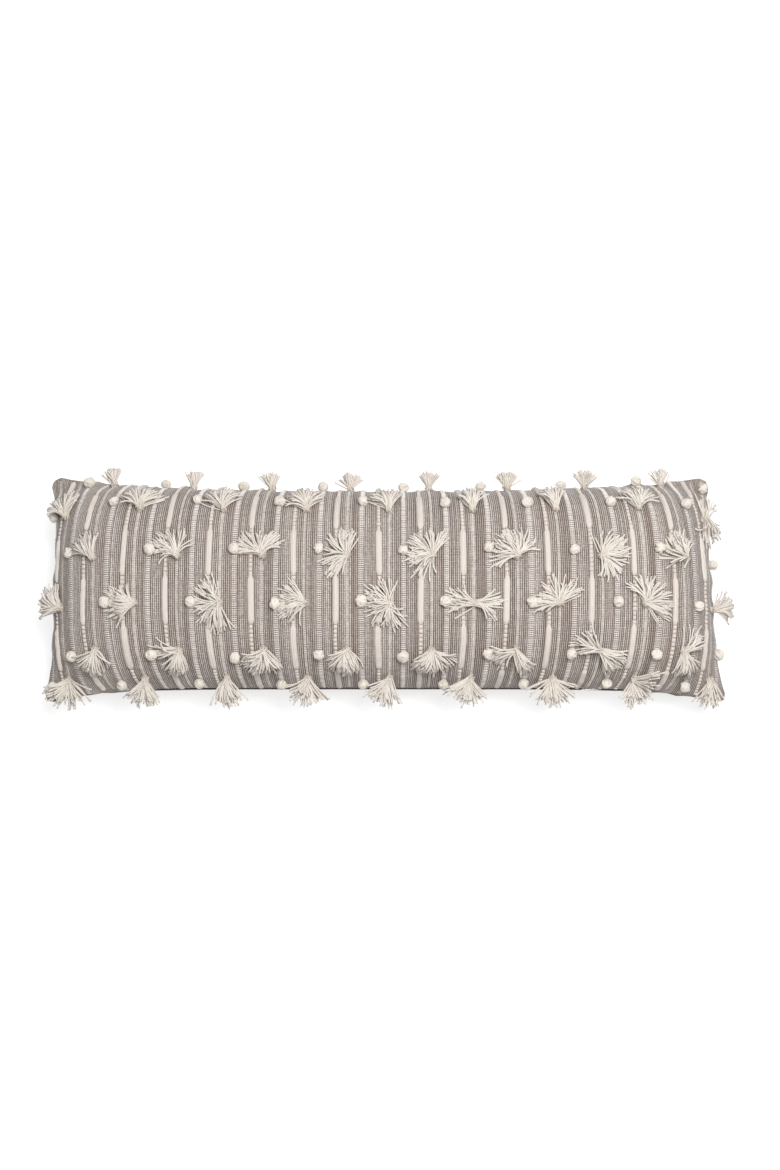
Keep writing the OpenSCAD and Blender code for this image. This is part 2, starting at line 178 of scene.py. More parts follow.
class Form:
    """The crowned cushion: pulled in between its corners, flat where it rests."""

    def __init__(self):
        size = bpy.context.scene.pillow_form
        self.half_l = size.panel_length / 2
        self.half_w = size.panel_width / 2
        self.corner = (size.corner_x, size.corner_y)
        self.side = running_sums(SIDE_TURN)
        self.end = running_sums(END_TURN)
        self.rise = self.half_w * self.side[1][-1]
        self.end_zone = self.rise / self.end[1][-1]
        self.flat_zone = self.half_l - self.end_zone
        self.mid_x = self.flat_zone + self.end_zone * self.end[0][-1]
        self.mid_y = self.half_w * self.side[0][-1]
        self.seam_z = self.rise * size.rest_share

    def turned(self, table, t):
        """A running sum read at t, from 0 to 1."""
        return np.interp(t, np.linspace(0, 1, TURN_STEPS + 1), table)

    def point(self, u, v, side, edge_in=0.0, face_in=0.0, ears=1.0):
        """Points of the form, set in from its edge and from its face."""
        over = np.maximum(0, np.abs(u) * self.half_l - self.flat_zone) / self.end_zone
        near = np.minimum(np.abs(u) * self.half_l, self.flat_zone)
        along = np.sign(u) * (near + self.end_zone * self.turned(self.end[0], over)) / self.mid_x
        across = np.sign(v) * self.turned(self.side[0], np.abs(v)) / self.side[0][-1]
        height = (1 - self.turned(self.end[1], over) / self.end[1][-1]) \
            * (1 - self.turned(self.side[1], np.abs(v)) / self.side[1][-1])
        reach_x = self.mid_x + ears * self.corner[0] * np.abs(v) ** 4 - edge_in
        ear = np.abs(u) ** np.where(v > 0, BROAD_EAR, NARROW_EAR)
        reach_y = self.mid_y + ears * self.corner[1] * ear - edge_in
        x = reach_x * (along + (u - along) * np.abs(v) ** 3)
        y = reach_y * (across + (v - across) * np.abs(u) ** 6)
        # Near a corner the square of cloth is drawn in to a quarter round
        p = np.clip(1 - (1 - np.abs(u)) * self.half_l / CORNER_ROUND, 0, 1)
        q = np.clip(1 - (1 - np.abs(v)) * self.half_w / CORNER_ROUND, 0, 1)
        x = x - np.sign(u) * p * (1 - np.sqrt(1 - q * q / 2)) * CORNER_ROUND
        y = y - np.sign(v) * q * (1 - np.sqrt(1 - p * p / 2)) * CORNER_ROUND
        x = x - END_LEAN * v * np.clip(u, 0, 1) ** 4
        up = (self.rise - face_in) * height
        z = self.seam_z + up if side > 0 else np.maximum(face_in, self.seam_z - up)
        return np.stack([x, y, z], -1)


class Face:
    """A panel's outside face, smooth between the points of its grid."""

    def __init__(self, grid, side, half_l, half_w):
        self.side = side
        self.half = (half_l, half_w)
        self.shape = grid.shape[:2]
        first, last = 2 * grid[:1] - grid[1:2], 2 * grid[-1:] - grid[-2:-1]
        wide = np.concatenate([first, grid, last], 0)
        first, last = 2 * wide[:, :1] - wide[:, 1:2], 2 * wide[:, -1:] - wide[:, -2:-1]
        self.grid = np.concatenate([first, wide, last], 1)

    def taps(self, value, half, count):
        """The first of four grid lines round each value, and the four shares."""
        place = np.clip((value / half + 1) / 2, 0, 1) * (count - 1)
        start = np.minimum(place.astype(int), count - 2)
        t = place - start
        shares = np.stack([
            ((2 - t) * t - 1) * t / 2,
            ((3 * t - 5) * t * t + 2) / 2,
            ((4 - 3 * t) * t + 1) * t / 2,
            (t - 1) * t * t / 2], -1)
        return start, shares

    def at(self, x, y):
        """Points at flat places x, y in metres from the panel's middle."""
        i, a = self.taps(x, self.half[0], self.shape[0])
        j, b = self.taps(y, self.half[1], self.shape[1])
        total = 0
        for m in range(4):
            for n in range(4):
                weight = a[..., m] * b[..., n]
                total = total + weight[..., None] * self.grid[i + m, j + n]
        return total

    def frame(self, x, y, step=0.002):
        """Points with their ways along x and y, and outwards."""
        here = self.at(x, y)
        x0, x1 = np.clip([x - step, x + step], -self.half[0], self.half[0])
        y0, y1 = np.clip([y - step, y + step], -self.half[1], self.half[1])
        way_x = unit(self.at(x1, y) - self.at(x0, y))
        way_y = unit(self.at(x, y1) - self.at(x, y0))
        out = self.side * unit(np.cross(way_x, way_y))
        return here, way_x, way_y, out

    def raised(self, x, y, height):
        """Points at a height above the face."""
        here, _, _, out = self.frame(x, y)
        return here + out * np.asarray(height)[..., None]


def unit(a):
    """Vectors of length one."""
    return a / np.maximum(np.linalg.norm(a, axis=-1, keepdims=True), 1e-12)


def level(x, y):
    """Places x, y on cloth laid flat, as points."""
    return np.stack([x, y, np.zeros_like(x)], -1)


def quads(number):
    """The faces of a grid whose points have these numbers (n, m)."""
    corners = [number[:-1, :-1], number[1:, :-1], number[1:, 1:], number[:-1, 1:]]
    return np.stack(corners, -1).reshape(-1, 4)


def keep_vectors(mesh, name, vectors):
    """Keeps one vector for each point of a mesh, for its material to read."""
    place = mesh.attributes.new(name, "FLOAT_VECTOR", "POINT")
    place.data.foreach_set("vector", np.asarray(vectors, np.float32).ravel())


# ---- Meshes ----

class Mesh:
    """Gathers rings, grids and strands into one mesh."""

    def __init__(self):
        self.points = []
        self.thread = []
        self.faces = []
        self.count = 0

    def add(self, points, faces, thread=None):
        """Points (n, 3), faces as index rows, and each point's place on its thread."""
        points = np.asarray(points).reshape(-1, 3)
        if thread is None:
            thread = np.zeros_like(points)
        self.points.append(points)
        self.thread.append(np.asarray(thread).reshape(-1, 3))
        self.faces.extend((np.asarray(faces) + self.count).tolist())
        self.count += len(points)

    def tube(self, rings, thread=None):
        """A closed tube through rings (n, m, 3)."""
        n, m = rings.shape[:2]
        i, j = np.meshgrid(np.arange(n - 1), np.arange(m), indexing="ij")
        a, b = i * m + j, i * m + (j + 1) % m
        sides = np.stack([a, b, b + m, a + m], -1).reshape(-1, 4)
        base = self.count
        self.add(rings, sides, thread)
        self.faces.append([base + k for k in range(m - 1, -1, -1)])
        self.faces.append([base + (n - 1) * m + k for k in range(m)])

    def grid(self, points, flip=False):
        """An open sheet of points (n, m, 3)."""
        n, m = points.shape[:2]
        faces = quads(np.arange(n * m).reshape(n, m))
        self.add(points, faces[:, ::-1] if flip else faces)

    def slab(self, top, under, up=True):
        """A closed slab between two grids (n, m, 3); up says that top lies above under."""
        n, m = top.shape[:2]
        first = np.arange(n * m).reshape(n, m)
        rim = np.concatenate([first[:-1, 0], first[-1, :-1], first[:0:-1, -1], first[0, :0:-1]])
        after = np.roll(rim, -1)
        wall = np.stack([rim, rim + n * m, after + n * m, after], -1)
        faces = [(quads(first), up), (quads(first + n * m), not up), (wall, up)]
        self.add(np.concatenate([top.reshape(-1, 3), under.reshape(-1, 3)]),
                 np.concatenate([face if keep else face[:, ::-1] for face, keep in faces]))

    def cord(self, path, radius, sides=6, tone=0.5):
        """A round cord along a path (n, 3); radius is one number or one for each point."""
        path = np.asarray(path)
        way = unit(np.gradient(path, axis=0))
        lean = np.array([0.0, 0.0, 1.0]) if abs(way[0][2]) < 0.8 else np.array([1.0, 0.0, 0.0])
        across = np.empty_like(path)
        for i, w in enumerate(way):
            lean = unit(lean - w * np.dot(lean, w))
            across[i] = lean
        up = np.cross(way, across)
        turn = 2 * math.pi * np.arange(sides) / sides
        r = np.broadcast_to(np.asarray(radius, float), (len(path),))[:, None, None]
        rings = path[:, None] + r * (
            across[:, None] * np.cos(turn)[None, :, None]
            + up[:, None] * np.sin(turn)[None, :, None])
        along = np.concatenate([[0], np.cumsum(np.linalg.norm(np.diff(path, axis=0), axis=1))])
        thread = np.stack([
            np.broadcast_to(along[:, None], rings.shape[:2]),
            np.broadcast_to(turn[None], rings.shape[:2]),
            np.full(rings.shape[:2], tone)], -1)
        self.tube(rings, thread)

    def piece(self, name, finish, node):
        """The gathered mesh as a smooth object that rides on the pillow, for a node."""
        mesh = bpy.data.meshes.new(name)
        mesh.from_pydata(np.concatenate(self.points).tolist(), [], self.faces)
        mesh.polygons.foreach_set("use_smooth", np.ones(len(mesh.polygons), bool))
        keep_vectors(mesh, "thread", np.concatenate(self.thread))
        mesh.materials.append(made["finish"][finish])
        mesh.validate()
        mesh.update()
        obj = bpy.data.objects.new(name, mesh)
        bpy.context.scene.collection.objects.link(obj)
        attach(obj, BODY)
        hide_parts(node)
        return obj


# ---- Shader sums ----

class Value:
    """One output of a material's nodes, for sums written as Python."""

    def __init__(self, paint, socket):
        self.paint = paint
        self.socket = socket

    def sum(self, operation, *values):
        node = self.paint.node("ShaderNodeMath", {"operation": operation}, *values)
        return Value(self.paint, node.outputs[0])

    def __add__(self, other):
        return self.sum("ADD", self, other)

    def __sub__(self, other):
        return self.sum("SUBTRACT", self, other)

    def __rsub__(self, other):
        return self.sum("SUBTRACT", other, self)

    def __mul__(self, other):
        return self.sum("MULTIPLY", self, other)

    def __truediv__(self, other):
        return self.sum("DIVIDE", self, other)

    def __gt__(self, other):
        return self.sum("GREATER_THAN", self, other)

    __radd__ = __add__
    __rmul__ = __mul__

    def whole(self):
        return self.sum("FLOOR", self)

    def part(self):
        return self.sum("FRACT", self)

    def cosine(self):
        return self.sum("COSINE", self)

    def power(self, exponent):
        return self.sum("POWER", self, exponent)

    def clipped(self):
        return self.sum("MAXIMUM", self.sum("MINIMUM", self, 1.0), 0.0)


class Paint:
    """One material and its nodes."""

    def __init__(self, name):
        self.material = bpy.data.materials.new(name)
        self.material.use_nodes = True
        self.tree = self.material.node_tree
        self.shader = self.tree.nodes["Principled BSDF"]

    def node(self, kind, settings, *values, **named):
        """A node, its settings set first, then its sockets by order or by name."""
        node = self.tree.nodes.new(kind)
        for key, value in settings.items():
            setattr(node, key, value)
        inputs = [(i, v) for i, v in enumerate(values)]
        inputs += [(k.replace("_", " "), v) for k, v in named.items()]
        for key, value in inputs:
            self.feed(node.inputs[key], value)
        return node

    def feed(self, socket, value):
        if isinstance(value, Value):
            self.tree.links.new(value.socket, socket)
        else:
            socket.default_value = value

    def out(self, node, output=0):
        return Value(self, node.outputs[output])

    def place(self, attribute):
        """The three parts of a vector kept on the mesh, and the vector."""
        vector = self.out(self.node("ShaderNodeAttribute", {"attribute_name": attribute}), "Vector")
        split = self.node("ShaderNodeSeparateXYZ", {}, vector)
        return [self.out(split, i) for i in range(3)], vector

    def joined(self, x, y, z=0.0):
        return self.out(self.node("ShaderNodeCombineXYZ", {}, x, y, z))

    def noise(self, vector, scale, detail=2.0, rough=0.5):
        node = self.node("ShaderNodeTexNoise", {}, Vector=vector, Scale=scale, Detail=detail,
                         Roughness=rough)
        return self.out(node, "Fac")

    def chance(self, x, y=0.0):
        """A steady random number for each pair of whole numbers."""
        node = self.node("ShaderNodeTexWhiteNoise", {"noise_dimensions": "2D"},
                         Vector=self.joined(x, y))
        return self.out(node, "Value")

    def mix(self, share_of_b, a, b):
        """Two colours mixed."""
        node = self.node("ShaderNodeMix", {"data_type": "RGBA"})
        self.feed(node.inputs[0], share_of_b)
        for socket, value in ((node.inputs[6], a), (node.inputs[7], b)):
            self.feed(socket, value if isinstance(value, Value) else (*value, 1.0))
        return Value(self, node.outputs[2])

    def finish(self, base, rough, height=None, depth=0.0005, strength=1.0, **fixed):
        """Feeds the shader: what varies by links, what doesn't on its own sockets."""
        self.feed(self.shader.inputs["Base Color"],
                  base if isinstance(base, Value) else (*base, 1.0))
        self.feed(self.shader.inputs["Roughness"], rough)
        if height is not None:
            bump = self.node("ShaderNodeBump", {}, Strength=strength, Distance=depth, Height=height)
            self.tree.links.new(bump.outputs[0], self.shader.inputs["Normal"])
        for key, value in fixed.items():
            self.shader.inputs[key.replace("_", " ")].default_value = value
        return self.material


RIB_PITCH = 2.7 * MM
PICK_PITCH = 2.3 * MM
RUSTY_RIB = (0.330, 0.245, 0.200)
# Darker colours that the materials mix in: partly tone that differs at random, partly painted shade
# in ply gaps, weave hollows and dips.
WARM_SHADE = (0.500, 0.420, 0.340)
BAND_SHADE = (0.240, 0.195, 0.165)
DASH_SHADE = (0.300, 0.250, 0.215)
CALICO_SHADE = (0.600, 0.560, 0.500)
FIBRE_SHADE = (0.700, 0.700, 0.690)
TAPE_SHADE = (0.120, 0.100, 0.090)
COIL_SHADE = (0.100, 0.090, 0.080)
# Painted shade darkens a tassel's strands within this reach of the tie
ROOT_SHADE_REACH = 16 * MM


def ribbed_cloth(name, streaks):
    """Ribbed taupe cloth: ribs of several tones, flecked where the picks show, with painted shade
    in the furrows between ribs and between picks.
    """
    _, stripes, _, tint = settings()
    paint = Paint(name)
    (x, y, _), flat = paint.place("flat")
    waver = paint.noise(flat, 40.0, 1.0) - 0.5
    rib = (x + waver * (0.7 * MM)) / RIB_PITCH
    number = rib.whole()
    crest = 0.5 - (rib.part() * (2 * math.pi)).cosine() * 0.5
    tone = paint.chance(number)
    group = paint.chance((number / 5.0).whole(), 3.0)
    pick = (y + waver * (1.5 * MM)) / PICK_PITCH
    bead = 0.5 - (pick.part() * (2 * math.pi)).cosine() * 0.5
    fleck = paint.chance(number, pick.whole())
    long_fleck = paint.chance(number, (y / (9 * MM) + tone * 5.0).whole())
    cloud = paint.noise(flat, 9.0, 3.0)
    light = tone * 0.40 + group * 0.22 + fleck * 0.60 + long_fleck * 0.22 + cloud * 0.3 - 0.42
    light = (light * streaks + (1 - streaks) * 0.30).clipped()
    base = paint.mix(light, tint.rib_mid, tint.rib_light)
    beside = (x + stripes.shift) * (4 * math.pi / stripes.pitch)
    warm = (0.5 + beside.cosine() * 0.5) * streaks * (0.20 + group * 0.30)
    base = paint.mix(warm + (paint.chance(number, 11.0) > 0.74) * 0.25, base, RUSTY_RIB)
    # Painted shade: the furrows between ribs, deeper on some ribs, and between picks are darkened
    # towards the darkest colour.
    deep = (paint.chance(number, 5.0) > 0.5) * 0.55
    furrow_shade = (1 - crest).power(1.2) * (deep + 0.68) + (1 - bead).power(1.5) * 0.46
    base = paint.mix(furrow_shade.clipped() * 0.95, base, tint.deep_shade)
    fuzz = paint.noise(flat, 2600.0, 2.0)
    height = crest.power(0.6) * 0.58 + bead * 0.30 + fuzz * 0.22
    return paint.finish(base, 0.92, height, depth=0.6 * MM, strength=0.9,
                        Sheen_Weight=0.25, Sheen_Roughness=0.5, Specular_IOR_Level=0.15)


def spun_yarn(name, tint, shade, ply_pitch, plies, sheen=0.3, flecks=0.25, tied=0.0, dip_shade=0.0):
    """Twisted cotton: plies wind round, with painted shade in the gaps between plies, near a
    tassel's tie and where the yarn dips into the cloth.
    """
    paint = Paint(name)
    (along, around, tone), _ = paint.place("thread")
    wind = along * (2 * math.pi / ply_pitch) + around * float(plies)
    ply = 0.5 + wind.cosine() * 0.5
    fibre = paint.noise(paint.joined(along * 900.0, around * 3.0, tone * 50.0), 1.0, 3.0)
    # Painted shade: darker in the gaps between plies, near a tassel's tie and where the yarn dips
    # into the cloth; tone and flecks also vary at random
    base = paint.mix(((1 - ply) * 0.26 + (1 - tone) * 0.24 + (fibre - 0.5) * flecks
                      + (1 - along / ROOT_SHADE_REACH).clipped() * tied
                      + (1 - tone * 4.0).clipped() * dip_shade).clipped(), tint, shade)
    height = ply.power(0.7) * 0.7 + fibre * 0.3
    return paint.finish(base, 0.88, height, depth=0.35 * MM, strength=0.8,
                        Sheen_Weight=sheen, Sheen_Roughness=0.4, Specular_IOR_Level=0.2)


def untwisted_yarn(name, tint, shade):
    """A thick soft yarn of plies that lie side by side, with lengthwise fibres and painted shade in
    the gaps between plies.
    """
    paint = Paint(name)
    (along, across, tone), _ = paint.place("thread")
    fibre = paint.noise(paint.joined(along * 60.0, across * 5200.0, tone * 20.0), 1.0, 4.0, 0.6)
    cloud = paint.noise(paint.joined(along * 45.0, across * 250.0, tone * 30.0), 1.0, 2.0)
    # Painted shade: dark lines along the gaps between the plies
    split = (0.5 + (across * (2 * math.pi / (2.1 * MM)) + cloud * 5.0).cosine() * 0.5).power(3.0)
    base = paint.mix(((fibre - 0.42) * 0.75 + split * 0.55 + (1 - tone) * 0.35).clipped(),
                     tint, shade)
    return paint.finish(base, 0.85, fibre, depth=0.35 * MM, strength=0.8,
                        Sheen_Weight=0.3, Sheen_Roughness=0.4, Specular_IOR_Level=0.2)


def plain_cloth(name, tint, shade, pitch):
    """A plain weave on the flat coordinates, with painted shade in its hollows."""
    paint = Paint(name)
    (x, y, _), flat = paint.place("flat")
    over = (x * (2 * math.pi / pitch)).cosine() * (y * (2 * math.pi / pitch)).cosine()
    cloud = paint.noise(flat, 30.0, 3.0)
    slub = paint.noise(flat, 900.0, 2.0)
    # Painted shade: darker in the weave's hollows, where the bump is lowest; cloud and slub vary at
    # random
    base = paint.mix(((0.5 - over * 0.5) * 0.35 + (cloud - 0.5) * 0.5 + slub * 0.2).clipped(),
                     tint, shade)
    return paint.finish(base, 0.92, over * 0.5 + slub * 0.5, depth=0.2 * MM, strength=0.6,
                        Sheen_Weight=0.2, Specular_IOR_Level=0.15)


def brushed_metal(name, tint):
    """Cast zip metal with a worn plated finish."""
    paint = Paint(name)
    spot = paint.out(paint.node("ShaderNodeTexCoord", {}), "Object")
    grain = paint.noise(spot, 2500.0, 3.0)
    wear = paint.noise(spot, 300.0, 3.0)
    base = paint.mix((wear * 0.8).clipped(), tint, [c * 1.5 for c in tint])
    return paint.finish(base, wear * 0.25 + 0.28, grain, depth=0.05 * MM, strength=0.4,
                        Metallic=1.0)


def finishes():
    """Makes every material once, by slot."""
    _, _, _, tint = settings()
    made["finish"] = {
        "woven_front": ribbed_cloth("Ribbed handwoven cloth", 1.0),
        "plain_back": ribbed_cloth("Ribbed plain back cloth", 0.55),
        "cotton_yarn": untwisted_yarn("Soft cream float yarn", tint.cream, WARM_SHADE),
        "ladder_yarn": spun_yarn("Ladder band yarn", tint.ladder, BAND_SHADE, 3 * MM, 2,
                                 flecks=0.4, dip_shade=0.9),
        "dash_yarn": spun_yarn("Dashed band yarn", tint.dash, DASH_SHADE, 3 * MM, 2,
                               flecks=0.8, dip_shade=0.7),
        "cotton_roving": spun_yarn("Knotted roving", tint.roving, WARM_SHADE, 9 * MM, 3,
                                   flecks=0.5),
        "tassel_cotton": spun_yarn("Twisted tassel cotton", tint.tassel, WARM_SHADE, 3.4 * MM, 2,
                                   flecks=0.3, tied=0.45),
        "calico": plain_cloth("Unbleached calico", tint.calico, CALICO_SHADE, 0.9 * MM),
        "fibre_fill": plain_cloth("Fibre fill", tint.fibre, FIBRE_SHADE, 14 * MM),
        "sewing_thread": spun_yarn("Sewing thread", tint.rib_light, tint.deep_shade, 1.2 * MM, 2),
        "zip_tape": plain_cloth("Zip tape", tint.zip_cloth, TAPE_SHADE, 0.7 * MM),
        "zip_coil": spun_yarn("Zip coil", tint.zip_cloth, COIL_SHADE, 2 * MM, 1, sheen=0.0),
        "zip_metal": brushed_metal("Zip metal", tint.metal),
    }


# ---- Cover ----

SETTLE_COLUMNS = 161
SETTLE_ROWS = 61
SETTLE_FRAMES = 22
SETTLE_CLOTH = {
    "quality": 6, "mass": 0.02, "tension_stiffness": 12.0, "compression_stiffness": 12.0,
    "shear_stiffness": 1.5, "bending_stiffness": 0.4, "air_damping": 2.0,
    "use_pressure": True, "uniform_pressure_force": 1.2, "vertex_group_mass": "Hold",
    "pin_stiffness": 1.0,
}
# How firmly the cloth is held to its form, away from the seams and less near them
HOLD = 0.12
HOLD_LESS = 0.08
HOLD_RIM = 50 * MM
# The panels' edges part along the zip, and meet again past its coils
WINDOW_HEIGHT = 6.5 * MM
WINDOW_PAST = 16 * MM
WINDOW_CLOSE = 8 * MM
EDGE_TUCK = 1.1 * MM


def zip_span():
    """First and last x of the zip's coils."""
    low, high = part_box("zip_coil_upper")
    return low.x, high.x


def open_height(x):
    """How far a panel's lower edge stands off the seam, at places x along the seam."""
    low, high = zip_span()
    past = np.maximum(low - x, x - high)
    return WINDOW_HEIGHT * (1 - np.clip((past - WINDOW_PAST) / WINDOW_CLOSE, 0, 1))


def settle(points, flat, faces, hold):
    """Lets the sewn cover settle over its filling: cloth cut flat, filled and held softly."""
    scene = bpy.context.scene
    mesh = bpy.data.meshes.new("cover_to_settle")
    mesh.from_pydata(points.tolist(), [], faces)
    obj = bpy.data.objects.new("cover_to_settle", mesh)
    scene.collection.objects.link(obj)
    obj.shape_key_add(name="Filled")
    cut = obj.shape_key_add(name="Cut")
    cut.data.foreach_set("co", flat.astype(np.float32).ravel())
    cut.value = 0.0
    group = obj.vertex_groups.new(name="Hold")
    for i, weight in enumerate(hold.tolist()):
        group.add([i], weight, "REPLACE")
    modifier = obj.modifiers.new("Settle", "CLOTH")
    cloth = modifier.settings
    cloth.rest_shape_key = cut
    for key, value in SETTLE_CLOTH.items():
        setattr(cloth, key, value)
    cloth.effector_weights.gravity = 0.0
    modifier.point_cache.frame_start = 1
    modifier.point_cache.frame_end = SETTLE_FRAMES
    for number in range(1, SETTLE_FRAMES + 1):
        scene.frame_set(number)
    view = obj.evaluated_get(bpy.context.evaluated_depsgraph_get())
    settled = np.empty(len(points) * 3, np.float32)
    view.data.vertices.foreach_get("co", settled)
    bpy.data.objects.remove(obj)
    bpy.data.meshes.remove(mesh)
    scene.frame_set(1)
    return settled.reshape(-1, 3).astype(float)


GATHERS = 7
GATHER_DEPTH = 2.2 * MM
GATHER_REACH = 16 * MM
DENTS = 14
DENT_SIZE = 30 * MM


def puckers(grids, number, edge, u, v, zipped):
    """Small gathers that run in from the seams, where the long cut is eased round."""
    form = made["form"]
    rng = np.random.default_rng(7)
    total = np.zeros((number.max() + 1, 3))
    for side in (0, 1):
        face = Face(grids[side], 1 - 2 * side, form.half_l, form.half_w)
        _, _, _, out = face.frame(u * form.half_l, v * form.half_w)
        wave = np.zeros(u.shape)
        for place, ends in ((u * form.half_l, v), (v * form.half_w, u)):
            for _ in range(GATHERS):
                pitch = rng.uniform(26, 85) * MM
                reach = rng.uniform(0.35, 1.0)
                lean = rng.normal(0, 0.25)
                line = np.sin(2 * math.pi * (place + lean * edge) / pitch + rng.uniform(0, 6.3))
                gate = np.sin(2 * math.pi * place / rng.uniform(0.18, 0.5)
                              + rng.uniform(0, 6.3))
                wave += reach * line * np.clip(gate, 0, 1) * np.abs(ends) ** 5
        near = (edge / GATHER_REACH) * np.exp(1 - edge / GATHER_REACH)
        dent = 0
        for _ in range(DENTS):
            a, b = rng.uniform(-0.9, 0.9, 2)
            far = ((u - a) * form.half_l) ** 2 + ((v - b) * form.half_w) ** 2
            dent = dent + rng.uniform(-1.6, 0.9) * MM * np.exp(-far / (2 * DENT_SIZE ** 2))
        height = (GATHER_DEPTH * wave * near + dent * (edge > 0)) * (1 - np.clip(zipped, 0, 1))
        height[(edge <= 0) | (grids[side][..., 2] < 1 * MM)] = 0
        total[number[side]] += out * height[..., None]
    return total


def settled_grids(grids, u, v):
    """Both panels' grids after the sewn cover has settled, with its gathers and dents."""
    form = made["form"]
    n, m = u.shape
    # The panels share the points of their seam
    number = np.full((2, n, m), -1)
    number[0] = np.arange(n * m).reshape(n, m)
    inner = number[1, 1:-1, 1:-1]
    inner[...] = n * m + np.arange(inner.size).reshape(inner.shape)
    number[1][number[1] < 0] = number[0][number[1] < 0]
    count = n * m + inner.size
    points = np.zeros((count, 3))
    flat = np.zeros((count, 3))
    hold = np.zeros(count)
    edge = np.minimum((1 - np.abs(u)) * form.half_l, (1 - np.abs(v)) * form.half_w)
    rim = np.clip(1 - edge / HOLD_RIM, 0, 1)
    zipped = np.clip((-0.86 - v) / 0.08, 0, 1) * (open_height(u * form.mid_x) > 0)
    for side in (1, 0):
        points[number[side]] = grids[side]
        flat[number[side]] = level(u * form.half_l, v * form.half_w)
        rest = (grids[side][..., 2] < 1.0 * MM) if side else np.zeros(u.shape, bool)
        hold[number[side]] = np.maximum.reduce([HOLD - HOLD_LESS * rim, zipped, rest * 1.0])
    faces = quads(number[0]).tolist() + quads(number[1])[:, ::-1].tolist()
    moved = settle(points, flat, faces, hold) - points
    far = np.linalg.norm(moved, axis=1, keepdims=True)
    cap = bpy.context.scene.pillow_form.swell
    moved = moved * np.tanh(far / cap) * cap / np.maximum(far, 1e-9)
    moved[hold > 0.99] = 0
    settled = points + moved + puckers(grids, number, edge, u, v, zipped)
    settled[:, 2] = np.maximum(settled[:, 2], 0)
    return [settled[number[0]], settled[number[1]]]


def filled_faces():
    """The outside faces of both panels, and a search tree over them."""
    form = made["form"] = Form()
    u, v = np.meshgrid(np.linspace(-1, 1, SETTLE_COLUMNS), np.linspace(-1, 1, SETTLE_ROWS),
                       indexing="ij")
    grids = [form.point(u, v, 1), form.point(u, v, -1)]
    grids = settled_grids(grids, u, v)
    made["front"] = Face(grids[0], 1, form.half_l, form.half_w)
    made["back"] = Face(grids[1], -1, form.half_l, form.half_w)
    shell = Mesh()
    shell.grid(grids[0])
    shell.grid(grids[1], flip=True)
    made["tree"] = BVHTree.FromPolygons(np.concatenate(shell.points).tolist(), shell.faces)


def panel(face, name, slot, node, columns=340, rows=132):
    """One cover panel as a slab of cloth, with its edges turned in to the seam."""
    form = made["form"]
    size = bpy.context.scene.pillow_form
    u = np.linspace(-1, 1, columns)
    lift = open_height(u * form.mid_x) / form.half_w
    share_up = np.linspace(0, 1, rows)
    v = -1 + lift[:, None] + (2 - lift[:, None]) * share_up[None]
    x = np.broadcast_to((u * form.half_l)[:, None], v.shape)
    y = v * form.half_w
    here, _, _, out = face.frame(x, y)
    inner = here - out * size.cloth
    tuck = np.zeros(v.shape)
    tuck[0], tuck[-1], tuck[:, -1] = 1, 1, 1
    tuck[:, 0] = np.where(lift > 0, 0.3, 1)
    here = here - out * (tuck * EDGE_TUCK)[..., None]
    here[..., 2] = np.maximum(here[..., 2], 0)
    inner[..., 2] = np.maximum(inner[..., 2], size.cloth if face.side < 0 else 0)
    mesh = Mesh()
    mesh.slab(here, inner, face.side > 0)
    flat = level(x, y).reshape(-1, 3)
    both = np.concatenate([flat, flat])
    obj = mesh.piece(name, slot, node)
    keep_vectors(obj.data, "flat", both)
    lay_out_in_strips(obj, both)


STRIPS = 2
STRIP_TALL = 0.44
STRIP_GAP = 0.004


def lay_out_in_strips(obj, flat):
    """A UV map that stacks two lengths of a long panel, outside above inside."""
    form = made["form"]
    mesh = obj.data
    layer = mesh.uv_layers.new(name="OFBake")
    loops = np.empty(len(mesh.loops), int)
    mesh.loops.foreach_get("vertex_index", loops)
    starts = np.empty(len(mesh.polygons), int)
    totals = np.empty(len(mesh.polygons), int)
    mesh.polygons.foreach_get("loop_start", starts)
    mesh.polygons.foreach_get("loop_total", totals)
    face_of = np.repeat(np.arange(len(starts)), totals)
    half = len(flat) // 2
    x = (flat[loops, 0] / form.half_l + 1) / 2
    y = (flat[loops, 1] / form.half_w + 1) / 2
    middle = np.add.reduceat(x, starts) / totals
    inside = np.maximum.reduceat((loops >= half).astype(int), starts)[face_of]
    strip = np.clip((middle * STRIPS).astype(int), 0, STRIPS - 1)[face_of]
    across = x * STRIPS - strip
    gap, tall = STRIP_GAP, STRIP_TALL
    u = np.clip(across, -0.01, 1.01) * (1 - 4 * gap) + 2 * gap
    v = strip * (tall + gap) + y * (tall - gap) + gap
    u_in = x * (1 - 4 * gap) + 2 * gap
    v_in = STRIPS * (tall + gap) + gap + y * (1 - STRIPS * (tall + gap) - 3 * gap)
    uv = np.stack([np.where(inside, u_in, u), np.where(inside, v_in, v)], -1)
    layer.data.foreach_set("uv", uv.astype(np.float32).ravel())


class PILLOW_OT_cover(bpy.types.Operator):
    """Fill and settle the cover, then make its two panels and their seam"""
    bl_idname = "pillow.cover"
    bl_label = "Cover"

    def execute(self, context):
        finishes()
        filled_faces()
        panel(made["front"], "cover_front_panel", "woven_front", "front_panel")
        panel(made["back"], "cover_back_panel", "plain_back", "back_panel")
        seam_stitches()
        return {"FINISHED"}


SEAM_INSET = 2.0 * MM
SEAM_PITCH = 4.2 * MM
SEAM_THREAD = 0.4 * MM


